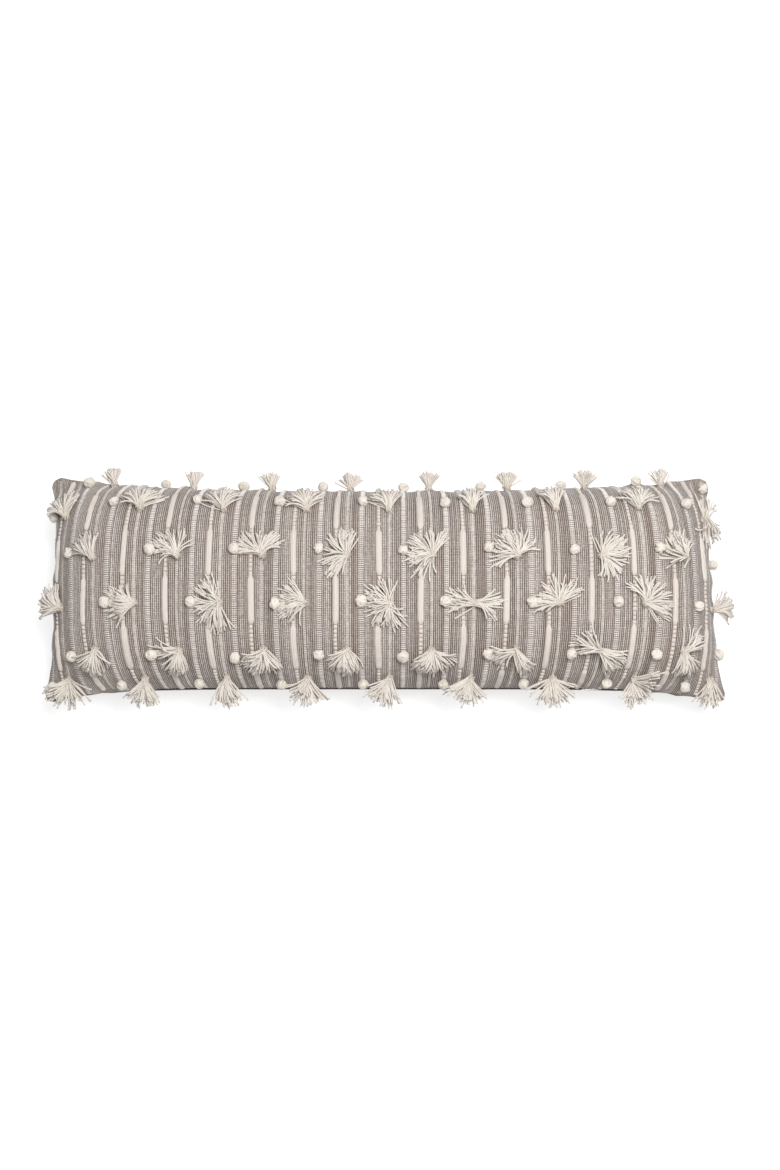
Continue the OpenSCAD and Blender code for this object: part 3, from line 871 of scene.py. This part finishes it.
def seam_stitches():
    """Short stitches that lie in the groove where the two panels meet."""
    form, face = made["form"], made["front"]
    legs = []
    for start, end in (((-1, 1), (1, 1)), ((1, 1), (1, -1)), ((-1, -1), (-1, 1)),
                       ((1, -1), (-1, -1))):
        a = np.array(start) * (form.half_l, form.half_w)
        b = np.array(end) * (form.half_l, form.half_w)
        count = int(np.linalg.norm(b - a) / SEAM_PITCH)
        for i in range(count):
            legs.append((a + (b - a) * (i + 0.12) / count, a + (b - a) * (i + 0.78) / count))
    mesh = Mesh()
    for a, b in legs:
        centre = (a + b) / 2
        seam_x = centre[0] * form.mid_x / form.half_l
        if centre[1] < -form.half_w * 0.99 and open_height(np.array(seam_x)) > 0:
            continue
        t = np.linspace(0, 1, 5)
        path = a[None] + (b - a)[None] * t[:, None]
        here = face.at(path[:, 0], path[:, 1])
        middle = here.mean(0)
        if abs(centre[1]) > form.half_w * 0.99:
            inward = unit(np.array([-middle[0] * 0.15, -middle[1], 0.0]))
        else:
            inward = unit(np.array([-middle[0], 0.0, 0.0]))
        sink = SEAM_INSET - 0.9 * MM * np.sin(math.pi * t)
        mesh.cord(here + inward * sink[:, None], SEAM_THREAD, 5)
    mesh.piece("edge_seam_stitching", "sewing_thread", "edge_seam_thread")


# ---- Woven stripes ----

STRIPE_END = 182 * MM
# A strip's underside lies this deep in the cloth
STRIP_SINK = 0.7 * MM
LADDER_HEIGHT = 1.5 * MM
DASH_HEIGHT = 0.6 * MM
RUNG_STEPS = 6
RUNG_ACROSS = 5
# Between two rungs the yarn dips this far under the cloth
RUNG_DIP = 0.45 * MM
FLOAT_STEPS = 36
BEAD_STEPS = 9
BEAD_HEIGHT = 2.1 * MM
# The yarn's height where it comes up out of the weave
RISE_HEIGHT = 1.4 * MM


def laid(mesh, centre, stations, widths, heights, section, tone):
    """A strip laid along the width: stations (n), widths (n), heights (n, m), section (m)."""
    face = made["front"]
    x = centre + widths[:, None] * section[None]
    y = np.broadcast_to(stations[:, None], x.shape)
    top = face.raised(x, y, heights)
    low_x = centre + widths[:, None] * section[None, [-1, 0]]
    low = face.raised(low_x, y[:, :2], np.full(low_x.shape, -STRIP_SINK))
    rings = np.concatenate([top, low], 1)
    across = np.concatenate([x - centre, low_x - centre], 1)
    along = np.broadcast_to(stations[:, None], across.shape)
    tones = np.broadcast_to(tone[:, None], across.shape)
    mesh.tube(rings[::-1], np.stack([along, across, tones], -1)[::-1])


def band(mesh, centre, pitch, width, height, seed, gap):
    """A band of rungs: each rung rounds over and dips under the cloth at its ends."""
    rng = np.random.default_rng(seed)
    place = np.arange(int(2 * STRIPE_END / pitch) * RUNG_STEPS + 1) / RUNG_STEPS
    stations = STRIPE_END - place * pitch
    number = place.astype(int)
    count = number[-1] + 1
    phase = place - number
    full = np.clip(np.sin(math.pi * phase) * (1 + gap) - gap, -gap, 1)
    rung_high = rng.uniform(0.75, 1.15, count + 1)[number]
    rung_wide = rng.uniform(0.90, 1.06, count + 1)[number]
    section = np.linspace(-0.5, 0.5, RUNG_ACROSS)
    round_over = np.sqrt(np.clip(1 - (2 * np.abs(section)) ** 3.0, 0, 1)) - 0.12
    heights = height * (full * rung_high)[:, None] * round_over[None] \
        - (full < 0)[:, None] * RUNG_DIP
    wobble = np.cumsum(rng.normal(0, 0.06 * MM, len(stations)))
    wobble -= np.linspace(wobble[0], wobble[-1], len(wobble))
    # Where a rung dips under the cloth its tone is 0, and its material paints shade there
    tone = np.where(full < 0, 0.0, rng.uniform(0.35, 0.9, count + 1)[number])
    laid(mesh, centre + wobble[:, None] * 0.5, stations, width * rung_wide, heights, section,
         tone)


def floats(k, r):
    """Whether yarn k floats in row r."""
    return (k + r) % 2 == 0


def yarn_x(k):
    """Flat place of a thick yarn."""
    _, stripes, _, _ = settings()
    return (k - (YARNS - 1) / 2) * stripes.pitch - stripes.shift


def float_part(top, low, section, dome, rng):
    """A plump float of soft plies: places, widths, heights and tones along it."""
    _, stripes, _, _ = settings()
    t = np.linspace(0, 1, FLOAT_STEPS + 1)[:-1]
    y = top + (low - top) * t
    whole = (top - y) / (top - low)
    taper = np.clip(np.minimum(whole, 1 - whole) / 0.11, 0, 1) ** 0.8
    taper = taper * taper * (3 - 2 * taper)
    end_width = stripes.bound_width * 0.9
    wide = end_width + (stripes.float_width * rng.uniform(0.9, 1.1) - end_width) * taper
    tall = RISE_HEIGHT + (
        stripes.float_height * rng.uniform(0.85, 1.1) - RISE_HEIGHT) * taper
    plies = rng.integers(3, 6)
    groove = 0.74 + 0.26 * np.abs(np.cos(
        math.pi * plies * (section[None] + 0.04 * np.sin(5 * whole)[:, None])
        + rng.uniform(0, 3))) ** 0.7
    high = tall[:, None] * dome[None] * groove - 0.2 * MM
    return y, wide, high, np.full(FLOAT_STEPS, rng.uniform(0.7, 1.0))


def bound_part(top, low, dome, rng):
    """Beads where the weave binds the yarn: places, widths, heights and tones."""
    _, stripes, _, _ = settings()
    beads = max(1, round((top - low) / stripes.bead_pitch))
    place = np.arange(beads * BEAD_STEPS) / BEAD_STEPS
    y = top - (top - low) * place / beads
    full = np.clip((np.sin(math.pi * (place % 1)) - 0.16) / 0.84, -0.3, 1)
    full = np.sign(full) * np.abs(full) ** 0.55
    number = place.astype(int)
    size = rng.uniform(0.88, 1.10, beads)[number]
    wide = stripes.bound_width * size * (0.86 + 0.14 * np.clip(full, 0, 1))
    high = (BEAD_HEIGHT * np.clip(full, 0, 1) * size)[:, None] * dome[None] \
        - (0.15 * MM + 0.5 * MM * (full < 0.05))[:, None]
    return y, wide, high, rng.uniform(0.35, 0.85, beads)[number]


def thick_yarn(k):
    """One thick yarn, free in one row and bound down in the next."""
    _, stripes, _, _ = settings()
    rng = np.random.default_rng(100 + k)
    section = np.linspace(-0.5, 0.5, 19)
    dome = np.clip(1 - (2 * np.abs(section)) ** 2.6, 0, 1) ** 0.6
    parts = []
    for r in range(ROWS):
        top = (ROWS / 2 - r) * stripes.float_length
        low = max(top - stripes.float_length, -STRIPE_END)
        top = min(top, STRIPE_END)
        if top - low < 2 * MM:
            continue
        if floats(k, r):
            parts.append(float_part(top, low, section, dome, rng))
        else:
            parts.append(bound_part(top, low, dome, rng))
    stations, widths, heights, tones = (np.concatenate(part) for part in zip(*parts))
    drift = np.interp(stations, np.linspace(-STRIPE_END, STRIPE_END, 9),
                      rng.normal(0, 0.5 * MM, 9))
    mesh = Mesh()
    laid(mesh, yarn_x(k) + drift[:, None], stations, widths, heights, section, tones)
    mesh.piece(f"cream_yarn_{k + 1:02d}", "cotton_yarn", f"thick_yarn_{k + 1:02d}")


class PILLOW_OT_yarns(bpy.types.Operator):
    """Lay the thick yarns over the front"""
    bl_idname = "pillow.yarns"
    bl_label = "Thick yarns"

    def execute(self, context):
        for k in range(YARNS):
            thick_yarn(k)
        return {"FINISHED"}


class PILLOW_OT_bands(bpy.types.Operator):
    """Weave the ladder bands and the dashed bands"""
    bl_idname = "pillow.bands"
    bl_label = "Ladder and dashed bands"

    def execute(self, context):
        _, stripes, _, _ = settings()
        ladders = Mesh()
        for k in range(-1, YARNS):
            band(ladders, yarn_x(k) + stripes.ladder_offset, stripes.rung_pitch,
                 stripes.ladder_width, LADDER_HEIGHT, 200 + k, gap=1.7)
        ladders.piece("ladder_band_rungs", "ladder_yarn", "ladder_bands")
        dashes = Mesh()
        for k in range(YARNS):
            band(dashes, yarn_x(k) + stripes.dash_offset, stripes.dash_pitch,
                 stripes.dash_width, DASH_HEIGHT, 300 + k, gap=0.9)
        dashes.piece("dashed_band_picks", "dash_yarn", "dashed_bands")
        return {"FINISHED"}


# ---- Knots and tassels ----

# Flat places of the rows of knots and of the tassels' ties, in millimetres, from the top down
KNOT_Y = [165, 112, 36, -37, -110, -160]
ROOT_Y = [166, 100, 27.5, -38.6, -103, -150]
LOOPS = 5


def knot(mesh, centre, way_x, way_y, out, size, rng):
    """A lump of roving wound over itself: a core and loops in odd directions."""
    squash = np.array([rng.uniform(0.90, 1.08), rng.uniform(0.92, 1.12), rng.uniform(0.80, 0.92)])
    axes = np.stack([way_x, way_y, out])
    n, m = 12, 18
    polar, turn = np.meshgrid(np.linspace(0.02, math.pi - 0.02, n),
                              2 * math.pi * np.arange(m) / m, indexing="ij")
    ball = np.stack([np.sin(polar) * np.cos(turn), np.sin(polar) * np.sin(turn),
                     np.cos(polar)], -1)
    lumps = 1 + 0.05 * np.sin(3 * turn + rng.uniform(0, 6)) * np.sin(2 * polar)
    core = centre + (ball * lumps[..., None] * squash * size * 0.37) @ axes
    thread = np.stack([polar * size / 2, turn, np.full(turn.shape, 0.5)], -1)
    mesh.tube(core, thread)
    ring = 2 * math.pi * np.arange(29) / 28
    for _ in range(LOOPS):
        pole = unit(rng.normal(0, 1, 3) * (1, 1, 0.6))
        a = unit(np.cross(pole, (0.3, 0.2, 0.9)))
        b = np.cross(pole, a)
        wide = size * rng.uniform(0.29, 0.35)
        off = pole * size * rng.uniform(-0.14, 0.14)
        loop = off + wide * (np.cos(ring)[:, None] * a + np.sin(ring)[:, None] * b)
        mesh.cord(centre + (loop * squash) @ axes, size * rng.uniform(0.14, 0.18), 8,
                  rng.uniform(0.45, 0.95))


class PILLOW_OT_knots(bpy.types.Operator):
    """Tie the knots on the ladder bands"""
    bl_idname = "pillow.knots"
    bl_label = "Knots"

    def execute(self, context):
        _, stripes, trim, _ = settings()
        for r in range(ROWS):
            rng = np.random.default_rng(400 + r)
            mesh = Mesh()
            for k in range(-1, YARNS):
                if not floats(abs(k), r):
                    continue
                x = np.array(yarn_x(k) + stripes.ladder_offset + rng.uniform(-1.5, 1.5) * MM)
                y = np.array(KNOT_Y[r] * MM + rng.uniform(-2.5, 2.5) * MM)
                size = trim.knot * rng.uniform(0.92, 1.08)
                here, way_x, way_y, out = made["front"].frame(x, y)
                way_y = np.cross(out, way_x)
                knot(mesh, here + out * size * 0.36, way_x, way_y, out, size, rng)
            mesh.piece(f"roving_knots_row_{r + 1}", "cotton_roving", f"knots_row_{r + 1}")
        return {"FINISHED"}


# How each tassel lies, left to right: its lobes of strands, from and to in degrees
# anticlockwise from +X
LIES = [
    [[(45, 160)], [(30, 145)], [(35, 150)], [(100, 160), (20, 70)], [(25, 150)],
     [(92, 155), (25, 80)], [(100, 165), (25, 78)], [(30, 155)]],
    [[(50, 130)], [(35, 150)], [(50, 155)], [(45, 150)], [(60, 140)], [(50, 145)],
     [(70, 130)], [(45, 155)], [(75, 125), (-120, -55)]],
    [[(80, 170)], [(70, 175)], [(60, 105), (120, 170)], [(60, 250)], [(50, 240)],
     [(20, 190)], [(-60, 110)], [(100, 200)]],
    [[(90, 215)], [(130, 230)], [(100, 300)], [(100, 215)], [(80, 290)],
     [(145, 215), (-25, 25)], [(30, 200)], [(-60, 110)], [(-35, 80)]],
    [[(200, 330)], [(230, 320), (175, 190)], [(200, 330)], [(205, 335)], [(200, 345)],
     [(280, 330), (170, 190)], [(290, 360), (125, 145)], [(230, 310), (40, 60)]],
    [[(190, 330)], [(210, 310)], [(220, 320)], [(215, 325)], [(200, 280)], [(180, 320)],
     [(190, 340)], [(230, 310), (30, 50)], [(225, 290)]],
]
STRAND_STEPS = 9
# Near the zip's side, strands lie this far above the seam
ZIP_SIDE = 6 * MM
ZIP_CLEAR = 10 * MM
# How high the strands of a tassel pile up, and how fast they bend down on the face and at
# the edges, for each metre of their length
PILE = 7 * MM
DROOP = 36.0
EDGE_DROOP = 6.0
TIE_WIRE = 1.1 * MM


def strand_path(root, out, angle, reach, lift, layer, bend, droop):
    """A strand that springs out of its tie, bends down and lies on what is below it."""
    form, tree = made["form"], made["tree"]
    point = Vector(root)
    out = Vector(out)
    way = Vector((math.cos(angle), math.sin(angle), 0.0))
    way = (way - out * min(0.0, way.dot(out)) + out * lift).normalized()
    step = reach / STRAND_STEPS
    turn = Matrix.Rotation(bend / STRAND_STEPS, 3, out)
    path = [point.copy()]
    for i in range(STRAND_STEPS):
        way = turn @ way
        way.z -= droop * step
        way.normalize()
        ahead = point + way * step
        near, normal, _, _ = tree.find_nearest(ahead)
        need = layer[0] + (layer[1] - layer[0]) * (i + 1) / STRAND_STEPS
        gap = (ahead - near).dot(normal)
        if gap < need:
            ahead = ahead + normal * (need - gap)
        if ahead.y < -form.mid_y + ZIP_SIDE:
            ahead.z = max(ahead.z, form.seam_z + ZIP_CLEAR)
        way = (ahead - point).normalized()
        point = point + way * step
        path.append(point.copy())
    return np.array([p[:] for p in path])


def tassel(mesh, x, y, lobes, rng, edge):
    """One tied bundle of cut strands, fanned over the cloth; edge is 1 along the top side,
    -1 along the zip's side and 0 between."""
    _, _, trim, _ = settings()
    here, way_x, _, out = made["front"].frame(np.array(x), np.array(y))
    side = np.cross(out, way_x)
    spread = np.array([b - a for a, b in lobes], float)
    weight = (spread + 25) / (spread + 25).sum()
    count = int(trim.strands * rng.uniform(0.9, 1.15) * (0.7 + 0.3 * min(1, spread.sum() / 100)))
    swirl, phase = rng.normal(0, 0.30), rng.uniform(0, 6.3)
    for i in range(count):
        a, b = lobes[rng.choice(len(lobes), p=weight)]
        angle = math.radians(a + (b - a) * ((i * 0.618034) % 1) + rng.normal(0, 6))
        level = rng.uniform(0, 1)
        reach = trim.strand_length * (0.62 if edge > 0 else 1.0) \
            * rng.uniform(0.82, 1.10) * (1 - 0.26 * level * level)
        stray, around = rng.uniform(0, 4.2) * MM, rng.uniform(0, 2 * math.pi)
        start = here + out * (1.0 * MM + PILE * 0.8 * level) \
            + stray * (math.cos(around) * way_x + math.sin(around) * side) \
            - np.array([math.cos(angle), math.sin(angle), 0]) * 3.0 * MM
        layer = (1.6 * MM + PILE * level, 1.5 * MM + PILE * 0.8 * level)
        bend = swirl + 0.5 * math.sin(2.5 * angle + phase) + rng.normal(0, 0.25 + 0.35 * level)
        path = strand_path(start, out, angle, reach, 0.12 + 0.6 * level, layer, bend,
                           EDGE_DROOP if edge else DROOP)
        radius = np.full(len(path), trim.strand / 2 * rng.uniform(0.9, 1.12))
        radius[0] *= 0.7
        radius[-1] *= 1.08
        mesh.cord(path, radius, 6, rng.uniform(0.2, 1.0))
    ring = 2 * math.pi * np.arange(17) / 16
    for lift, wide in ((0.8, 2.6), (2.0, 2.2)):
        loop = here + out * lift * MM + wide * MM * (
            np.cos(ring)[:, None] * way_x + np.sin(ring)[:, None] * side)
        mesh.cord(loop, TIE_WIRE, 6, 0.7)


class PILLOW_OT_tassels(bpy.types.Operator):
    """Tie the tassels beside the thick yarns"""
    bl_idname = "pillow.tassels"
    bl_label = "Tassels"

    def execute(self, context):
        _, stripes, _, _ = settings()
        for r in range(ROWS):
            rng = np.random.default_rng(500 + r)
            mesh = Mesh()
            tied = [k for k in range(YARNS) if not floats(k, r)]
            for k, lobes in zip(tied, LIES[r]):
                edge = (r == 0) - (r == ROWS - 1)
                tassel(mesh, yarn_x(k) + stripes.dash_offset, ROOT_Y[r] * MM, lobes, rng, edge)
            mesh.piece(f"cotton_tassels_row_{r + 1}", "tassel_cotton", f"tassels_row_{r + 1}")
        return {"FINISHED"}


# ---- Insert ----

CASE_THICK = 0.6 * MM
INSERT_GAP = 0.5 * MM
# How far the case stays inside the cover's seams, and below the crown of the front
INSERT_ROOM = 7 * MM
INSERT_DEEP = 9 * MM
FILL_LUMPS = 1.5 * MM
# A pad never closes up to nothing at its rim
PAD_LEAST = (0, 0, 0.1 * MM)


def layer_grid(side, edge_in, face_in, lumps=0.0):
    """Points of an inner layer of the pillow, with its flat coordinates."""
    form = made["form"]
    u, v = np.meshgrid(np.linspace(-1, 1, 121), np.linspace(-1, 1, 49), indexing="ij")
    points = form.point(u, v, side, edge_in, face_in, 0.0)
    if lumps:
        wave = np.sin(u * 31) * np.sin(v * 9 + 2 * u) + np.sin(u * 57 + v * 13) * 0.6
        points[..., 2] -= side * lumps * (1 + wave / 1.6) * (1 - np.abs(v) ** 3)
    return points, level(u * form.half_l, v * form.half_w)


def pad(name, slot, node, lower, upper, flat):
    """A closed pad between two grids that share their places."""
    mesh = Mesh()
    mesh.slab(upper, lower)
    obj = mesh.piece(name, slot, node)
    flat = flat.reshape(-1, 3)
    keep_vectors(obj.data, "flat", np.concatenate([flat, flat]))


class PILLOW_OT_insert(bpy.types.Operator):
    """Make the insert: fibre fill in a sewn calico case"""
    bl_idname = "pillow.insert"
    bl_label = "Insert"

    def execute(self, context):
        inner = context.scene.pillow_form.cloth + INSERT_GAP + CASE_THICK
        room = INSERT_ROOM + CASE_THICK
        for side, name, node in ((1, "insert_case_top", "insert_case_front"),
                                 (-1, "insert_case_under", "insert_case_back")):
            deep = INSERT_DEEP * (side > 0)
            outer, flat = layer_grid(side, room, inner - CASE_THICK + deep)
            lining, _ = layer_grid(side, room, inner + deep)
            upper, lower = (outer, lining) if side > 0 else (lining, outer)
            pad(name, "calico", node, lower, upper + PAD_LEAST, flat)
        top, flat = layer_grid(1, room + INSERT_GAP, inner + INSERT_GAP + INSERT_DEEP, FILL_LUMPS)
        under, _ = layer_grid(-1, room + INSERT_GAP, inner + INSERT_GAP)
        pad("insert_fibre_fill", "fibre_fill", "insert_fill", under, top + PAD_LEAST, flat)
        case_seam(room)
        return {"FINISHED"}


def case_seam(edge_in):
    """A thread round the case's seam, a little short of meeting itself on the zip's side."""
    form = made["form"]
    t = np.linspace(0, 1, 160)
    s = np.linspace(0, 1, 60)
    corner = np.ones_like(s)
    around = np.concatenate([
        np.stack([0.02 + 0.98 * s, -corner], -1),
        np.stack([corner, 2 * s - 1], -1),
        np.stack([1 - 2 * t, np.ones_like(t)], -1),
        np.stack([-corner, 1 - 2 * s], -1),
        np.stack([-1 + 0.98 * s, -corner], -1)])
    path = form.point(around[:, 0], around[:, 1], 1, edge_in, 0.0, 0.0)
    keep = np.concatenate([[True], np.linalg.norm(np.diff(path, axis=0), axis=1) > 0.2 * MM])
    mesh = Mesh()
    mesh.cord(path[keep], 0.5 * MM, 6)
    mesh.piece("insert_case_stitching", "sewing_thread", "insert_seam_thread")


# ---- Zip ----

COIL_WIRE = 0.32 * MM
COIL_PITCH = 1.5 * MM
COIL_STEPS = 9
ZIP_STITCH_PITCH = 4.5 * MM
ZIP_THREAD = 0.34 * MM
# The stitches run this far past the coils, and this far in from the panel's edge
ZIP_STITCH_PAST = 6 * MM
ZIP_STITCH_IN = 2.2 * MM


def zip_coils(node, name):
    """One side of the zip as a wound coil."""
    low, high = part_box(node)
    wire, pitch = COIL_WIRE, COIL_PITCH
    turns = (high.x - low.x) / pitch
    t = np.linspace(0, turns, int(turns * COIL_STEPS))
    angle = 2 * math.pi * t
    path = np.stack([
        low.x + t * pitch,
        (low.y + high.y) / 2 + ((high.y - low.y) / 2 - wire) * np.cos(angle),
        (low.z + high.z) / 2 + ((high.z - low.z) / 2 - wire) * np.sin(angle)], -1)
    mesh = Mesh()
    mesh.cord(path, wire, 5, 0.8)
    mesh.piece(name, "zip_coil", node)


def zip_tape(node, name):
    """One woven tape with a thicker bead along its free edge."""
    low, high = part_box(node)
    y, t = (low.y + high.y) / 2, (high.y - low.y) / 2
    x = np.linspace(low.x, high.x, 240)
    z = np.linspace(0, 1, 12)
    up = 1 if node.endswith("upper") else -1
    height = (low.z if up > 0 else high.z) + up * z * (high.z - low.z)
    bead = 0.45 * np.exp(-((z - 0.93) / 0.05) ** 2) + 0.3 * np.exp(-(z / 0.06) ** 2)
    swell = np.minimum(t * (0.55 + bead), t)
    section = np.concatenate([np.stack([y + swell, height], -1),
                              np.stack([y - swell, height], -1)[::-1]])
    rings = np.concatenate([np.broadcast_to(x[:, None, None], (len(x), len(section), 1)),
                            np.broadcast_to(section[None], (len(x), len(section), 2))], -1)
    mesh = Mesh()
    mesh.tube(rings if up > 0 else rings[:, ::-1])
    obj = mesh.piece(name, "zip_tape", node)
    keep_vectors(obj.data, "flat", np.concatenate(mesh.points)[:, [0, 2, 1]])


def zip_stitching(side, name, node):
    """A running stitch that holds a tape to its panel, just off the panel's edge."""
    form, face = made["form"], made["front" if side > 0 else "back"]
    low, high = zip_span()
    pitch = ZIP_STITCH_PITCH
    mesh = Mesh()
    span = np.arange(low - ZIP_STITCH_PAST, high + ZIP_STITCH_PAST, pitch)
    t = np.linspace(0, 1, 6)
    # Seam places run a little shorter than the flat cloth
    grow = form.half_l / form.mid_x
    for x in span:
        xs = (x + t * pitch * 0.62) * grow
        ys = np.full(6, -form.half_w + WINDOW_HEIGHT + ZIP_STITCH_IN)
        path = face.raised(xs, ys, 0.28 * MM * np.sin(math.pi * t) ** 0.5 - 0.2 * MM)
        mesh.cord(path, ZIP_THREAD, 6, 0.6)
    mesh.piece(name, "sewing_thread", node)


class PILLOW_OT_zip(bpy.types.Operator):
    """Make the zip's tapes, coils and stitching, and finish its metal parts"""
    bl_idname = "pillow.zip"
    bl_label = "Zip"

    def execute(self, context):
        for half in ("upper", "lower"):
            zip_coils(f"zip_coil_{half}", f"zip_wound_coil_{half}")
            zip_tape(f"zip_tape_{half}", f"zip_woven_tape_{half}")
        zip_stitching(1, "zip_running_stitch_upper", "zip_stitches_upper")
        zip_stitching(-1, "zip_running_stitch_lower", "zip_stitches_lower")
        for node in ("zip_slider", "zip_pull", "zip_top_stops", "zip_bottom_stop"):
            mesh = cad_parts[node].data
            mesh.materials.clear()
            mesh.materials.append(made["finish"]["zip_metal"])
        return {"FINISHED"}


# ---- Stage ----

FLOOR_HALF = 12.0
FLOOR_DROP = 0.5 * MM
FLOOR_GLOW = 0.62
SKY = 0.58
LAMP_PLACE = (0.50, 0.15, 2.7)
LAMP_SIZE = 1.1
LAMP_WATTS = 68.0
CAMERA_LENS = 69.7
CAMERA_AIM = (0.0100, 0.0057, 0.085)


def lamp(name, place, aim, size, power):
    """A soft square lamp."""
    data = bpy.data.lights.new(name, "AREA")
    data.size = size
    data.energy = power
    obj = bpy.data.objects.new(name, data)
    obj.location = place
    obj.rotation_euler = (Vector(aim) - Vector(place)).to_track_quat("-Z", "Y").to_euler()
    bpy.context.scene.collection.objects.link(obj)


class PILLOW_OT_stage(bpy.types.Operator):
    """Lay the floor, hang the lamp and set the camera"""
    bl_idname = "pillow.stage"
    bl_label = "Stage"

    def execute(self, context):
        scene = context.scene
        stage = scene.pillow_stage
        mesh = bpy.data.meshes.new("floor")
        far = FLOOR_HALF
        mesh.from_pydata([(-far, -far, 0), (far, -far, 0), (far, far, 0), (-far, far, 0)], [],
                         [(0, 1, 2, 3)])
        floor = bpy.data.objects.new("floor", mesh)
        floor.location.z = -FLOOR_DROP
        scene.collection.objects.link(floor)
        paint = Paint("Pale floor")
        mesh.materials.append(paint.finish(stage.floor, 0.9, Specular_IOR_Level=0.1,
                                           Emission_Color=(1, 1, 1, 1),
                                           Emission_Strength=FLOOR_GLOW))
        floor.visible_diffuse = False
        world = bpy.data.worlds.new("Studio")
        world.use_nodes = True
        sky = world.node_tree.nodes["Background"]
        sky.inputs["Color"].default_value = (1.0, 1.0, 1.0, 1.0)
        sky.inputs["Strength"].default_value = SKY
        scene.world = world
        lamp("overhead_lamp", LAMP_PLACE, (0, 0, 0), LAMP_SIZE, LAMP_WATTS)
        scene.view_settings.view_transform = "Standard"
        data = bpy.data.cameras.new("Camera")
        data.lens = CAMERA_LENS
        data.clip_end = 60
        camera = bpy.data.objects.new("Camera", data)
        aim = Vector(CAMERA_AIM)
        camera.location = aim + stage.distance * Vector(
            (0, -math.sin(stage.tilt), math.cos(stage.tilt)))
        camera.rotation_euler = (stage.tilt, 0, 0)
        scene.collection.objects.link(camera)
        scene.camera = camera
        return {"FINISHED"}


class PILLOW_PT_panel(bpy.types.Panel):
    """Lists the pillow's operators"""
    bl_idname = "PILLOW_PT_panel"
    bl_label = "Throw pillow"
    bl_space_type = "VIEW_3D"
    bl_region_type = "UI"
    bl_category = "Pillow"

    def draw(self, context):
        for operator in OPERATORS:
            self.layout.operator(operator.bl_idname)


GROUPS = {"pillow_form": PillowForm, "pillow_stripes": PillowStripes,
          "pillow_trim": PillowTrim, "pillow_colours": PillowColours,
          "pillow_stage": PillowStage}
OPERATORS = [PILLOW_OT_cover, PILLOW_OT_yarns, PILLOW_OT_bands, PILLOW_OT_knots,
             PILLOW_OT_tassels, PILLOW_OT_insert, PILLOW_OT_zip, PILLOW_OT_stage]


def register():
    for name, group in GROUPS.items():
        bpy.utils.register_class(group)
        setattr(bpy.types.Scene, name, bpy.props.PointerProperty(type=group))
    for kind in [*OPERATORS, PILLOW_PT_panel]:
        bpy.utils.register_class(kind)


def unregister():
    for kind in [PILLOW_PT_panel, *reversed(OPERATORS)]:
        bpy.utils.unregister_class(kind)
    for name, group in GROUPS.items():
        delattr(bpy.types.Scene, name)
        bpy.utils.unregister_class(group)


def main():
    register()
    bpy.ops.pillow.cover()
    bpy.ops.pillow.yarns()
    bpy.ops.pillow.bands()
    bpy.ops.pillow.knots()
    bpy.ops.pillow.tassels()
    bpy.ops.pillow.insert()
    bpy.ops.pillow.zip()
    bpy.ops.pillow.stage()


if __name__ == "__main__":
    main()
